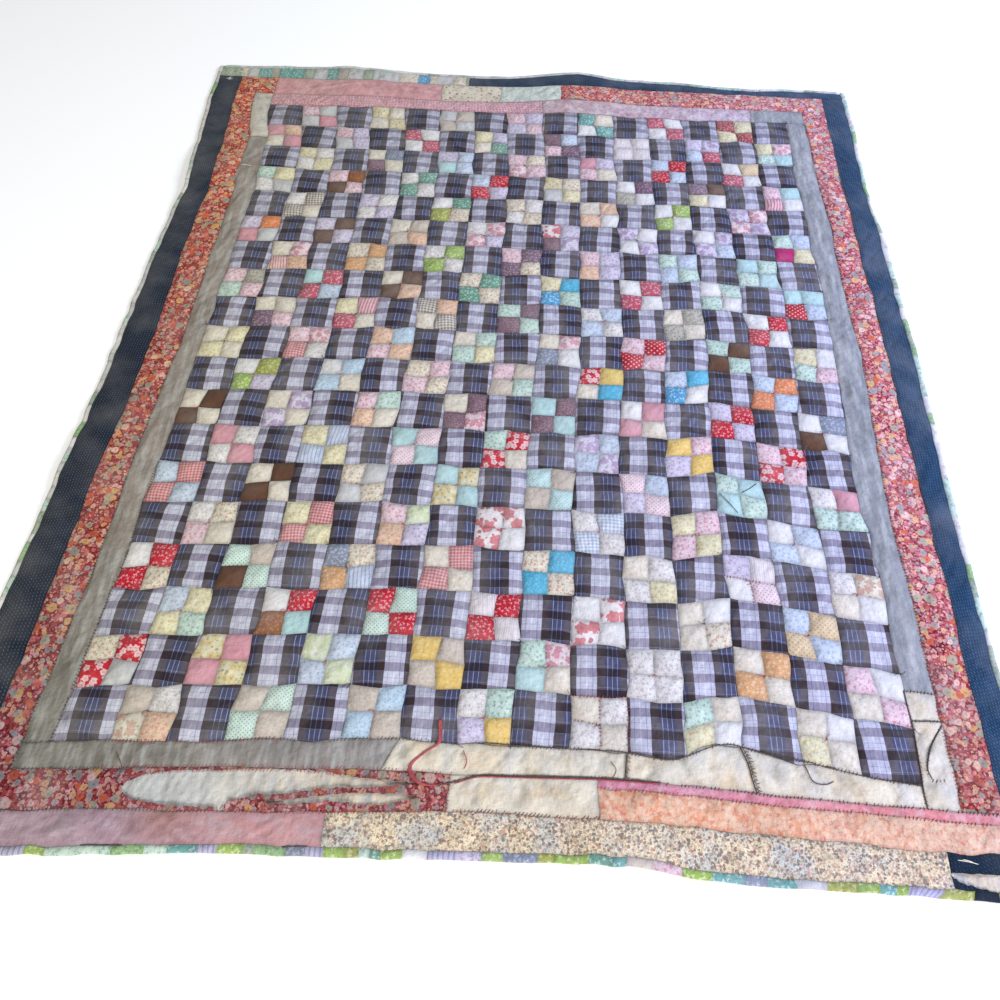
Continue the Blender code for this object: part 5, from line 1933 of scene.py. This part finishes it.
# Seams that are overcast, each with its own fixed chances, and the edges of the long tear.
TEAR_HIGH_EDGE = (
    (-60.5, -104.6),
    (-56.0, -103.5),
    (-46.0, -102.3),
    (-32.0, -101.4),
    (-20.0, -101.6),
    (-10.0, -102.0),
)
TEAR_LOW_EDGE = ((-59.0, -108.0), (-51.5, -109.1), (-43.5, -108.6), (-41.0, -107.2), (-36.0, -106.1))
TEAR_LOW_END = ((-36.0, -106.1), (-28.8, -105.1), (-19.0, -104.0), (-9.5, -102.9))
FIRST_SEED = 110
for number, (shade, places) in enumerate(
    (
        ("dark", on_seam(block(10), FOOT_PANELS, block(10), BLOCKS_FOOT)),
        ("red", on_seam(block(10), FOOT_PANELS, block(10), BLOCKS_FOOT, 0.4)),
        ("dark", on_seam(block(12), FOOT_PANELS, block(12), BLOCKS_FOOT)),
        ("dark", on_seam(block(12), FOOT_PANELS, block(12), BLOCKS_FOOT, 0.3)),
        ("dark", on_seam(BLOCKS_RIGHT, FOOT_PANELS, BLOCKS_RIGHT, course(2))),
        ("dark", on_seam(BLOCKS_RIGHT, course(2), RIGHT_GREY, course(2))),
        ("dark", on_seam(BLOCKS_RIGHT, course(1), RIGHT_GREY, course(1))),
        ("dark", PATCH_SIDE),
        ("red", on_seam(RIGHT_GREY, FOOT_PANELS, RIGHT_GREY, course(5))),
        ("dark", on_seam(RIGHT_GREY, FOOT_PANELS, RIGHT_GREY, course(19), 0.2)),
        ("dark", on_seam(RIGHT_RED, course(2), RIGHT_RED, course(17))),
        ("red", TEAR_HIGH_EDGE),
        ("red", TEAR_LOW_EDGE),
        ("red", TEAR_LOW_END),
        ("dark", on_seam(LEFT_GREY, BLOCKS_FOOT, block(7), BLOCKS_FOOT)),
        ("red", on_seam(block(1), BLOCKS_FOOT, block(4), BLOCKS_FOOT, -0.2)),
        ("red", on_seam(block(1), FOOT_PANELS, block(7), FOOT_PANELS, 0.2)),
        ("dark", on_seam(LEFT_GREY, FOOT_PANELS, block(2), FOOT_PANELS)),
        ("dark", on_seam(LEFT_RED, FOOT_BAND, block(3), FOOT_BAND)),
        ("red", on_seam(block(2), FOOT_BAND, block(9), FOOT_BAND)),
        ("dark", on_seam(block(7.5), FOOT_BAND, block(9), FOOT_BAND, 0.2)),
        ("red", on_seam(block(7), FOOT_BAND, block(7), FOOT_PANELS)),
        ("dark", on_seam(LEFT_GREY, FOOT_PANELS, LEFT_GREY, course(12))),
        ("dark", on_seam(BLOCKS_LEFT, BLOCKS_FOOT, BLOCKS_LEFT, course(6))),
        ("red", on_seam(BLOCKS_LEFT, BLOCKS_HEAD, block(12), BLOCKS_HEAD)),
        ("red", on_seam(block(7), HEAD_BAND, block(12), HEAD_BAND)),
        ("dark", on_seam(block(10), FOOT_PANELS, RIGHT_RED, FOOT_PANELS)),
        ("red", on_seam(block(9), TEAR_HIGH, RIGHT_RED, TEAR_HIGH)),
        ("red", on_seam(block(12), course(3.5), block(13), course(3.5))),
        ("red", on_seam(block(12.5), course(3), block(12.5), course(3.5))),
        ("red", on_seam(block(9.5), course(0), block(9.5), course(1))),
        ("red", on_seam(block(9), course(0.5), block(9.5), course(0.5))),
        ("red", on_seam(block(9), course(1), block(10), course(1))),
        ("red", on_seam(block(10), course(0), block(10), course(1))),
    )
):
    overcast(shade, places, FIRST_SEED + number)
lay_thread("dark", on_seam(block(1.1), FOOT_BINDING, block(1.8), FOOT_BINDING), radius=0.8 * MILLIMETRE)
lay_thread("dark", on_seam(block(4.4), FOOT_BINDING, block(4.8), FOOT_BINDING), radius=0.9 * MILLIMETRE)
NOTCH = at_lines((block(1.2), FOOT_PANELS + 0.6), (block(1.4), FOOT_PANELS), (block(1.1), TEAR_HIGH + 0.2))
lay_thread("dark", NOTCH)
lay_thread("red", ((-2.0, -96.2), (-1.2, -98.0), (-1.6, -99.4)), radius=0.8 * MILLIMETRE)
lay_thread("dark", ((24.0, -96.6), (25.0, -98.0), (24.4, -99.4)))
for start, end in (
    ((-79.3, 64.2), (-76.2, 64.0)),
    ((-93.8, 108.6), (-92.6, 107.2)),
    ((-93.2, 108.9), (-93.4, 107.0)),
    ((-94.4, 107.9), (-92.4, 108.1)),
    ((-91.0, 111.9), (-89.2, 111.7)),
    at_lines((BLOCKS_RIGHT + 0.3, FOOT_BAND - 0.2), (RIGHT_GREY + 0.1, FOOT_BAND - 0.25)),
    at_lines((BLOCKS_RIGHT + 0.5, FOOT_BAND - 0.15), (RIGHT_GREY, FOOT_BAND - 0.2)),
):
    middle = (start[0] + end[0]) / 2, (start[1] + end[1]) / 2 + 0.1
    lay_thread("pale", (start, middle, end), radius=0.7 * MILLIMETRE)


def thread_cotton(name, deep, light):
    """Spun thread, lighter along the ridges of its twist."""
    material, tree, shader = new_material(name)
    spot = add_node("TexCoord", tree=tree).outputs["Object"]
    twist = spread(mottle(spot, (900.0, 900.0, 900.0)), 0.35, 0.65, 0.0, 1.0)
    tree.links.new(lay_over(twist, deep, light), shader.inputs["Base Color"])
    shader.inputs["Roughness"].default_value = 0.85
    return material


for shade, slot, deep, light in (
    ("red", "red_calico", (136, 44, 54), (188, 92, 100)),
    ("dark", "navy_stripe", (50, 40, 44), (96, 80, 84)),
    ("pale", "cream_muslin", (206, 202, 192), (240, 238, 232)),
):
    points, faces = [], []
    for path, radius in threads[shade]:
        ring_points, ring_faces = spun(path, radius)
        faces += [[len(points) + corner for corner in face] for face in ring_faces]
        points += ring_points.tolist()
    sewing = bpy.data.meshes.new(f"{shade}_thread")
    sewing.from_pydata(points, [], faces)
    sewing.shade_smooth()
    stitched = bpy.data.objects.new(f"{shade}_thread", sewing)
    bpy.context.scene.collection.objects.link(stitched)
    sewing.materials.append(thread_cotton(f"{shade}_thread", deep, light))
    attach(stitched, "root")
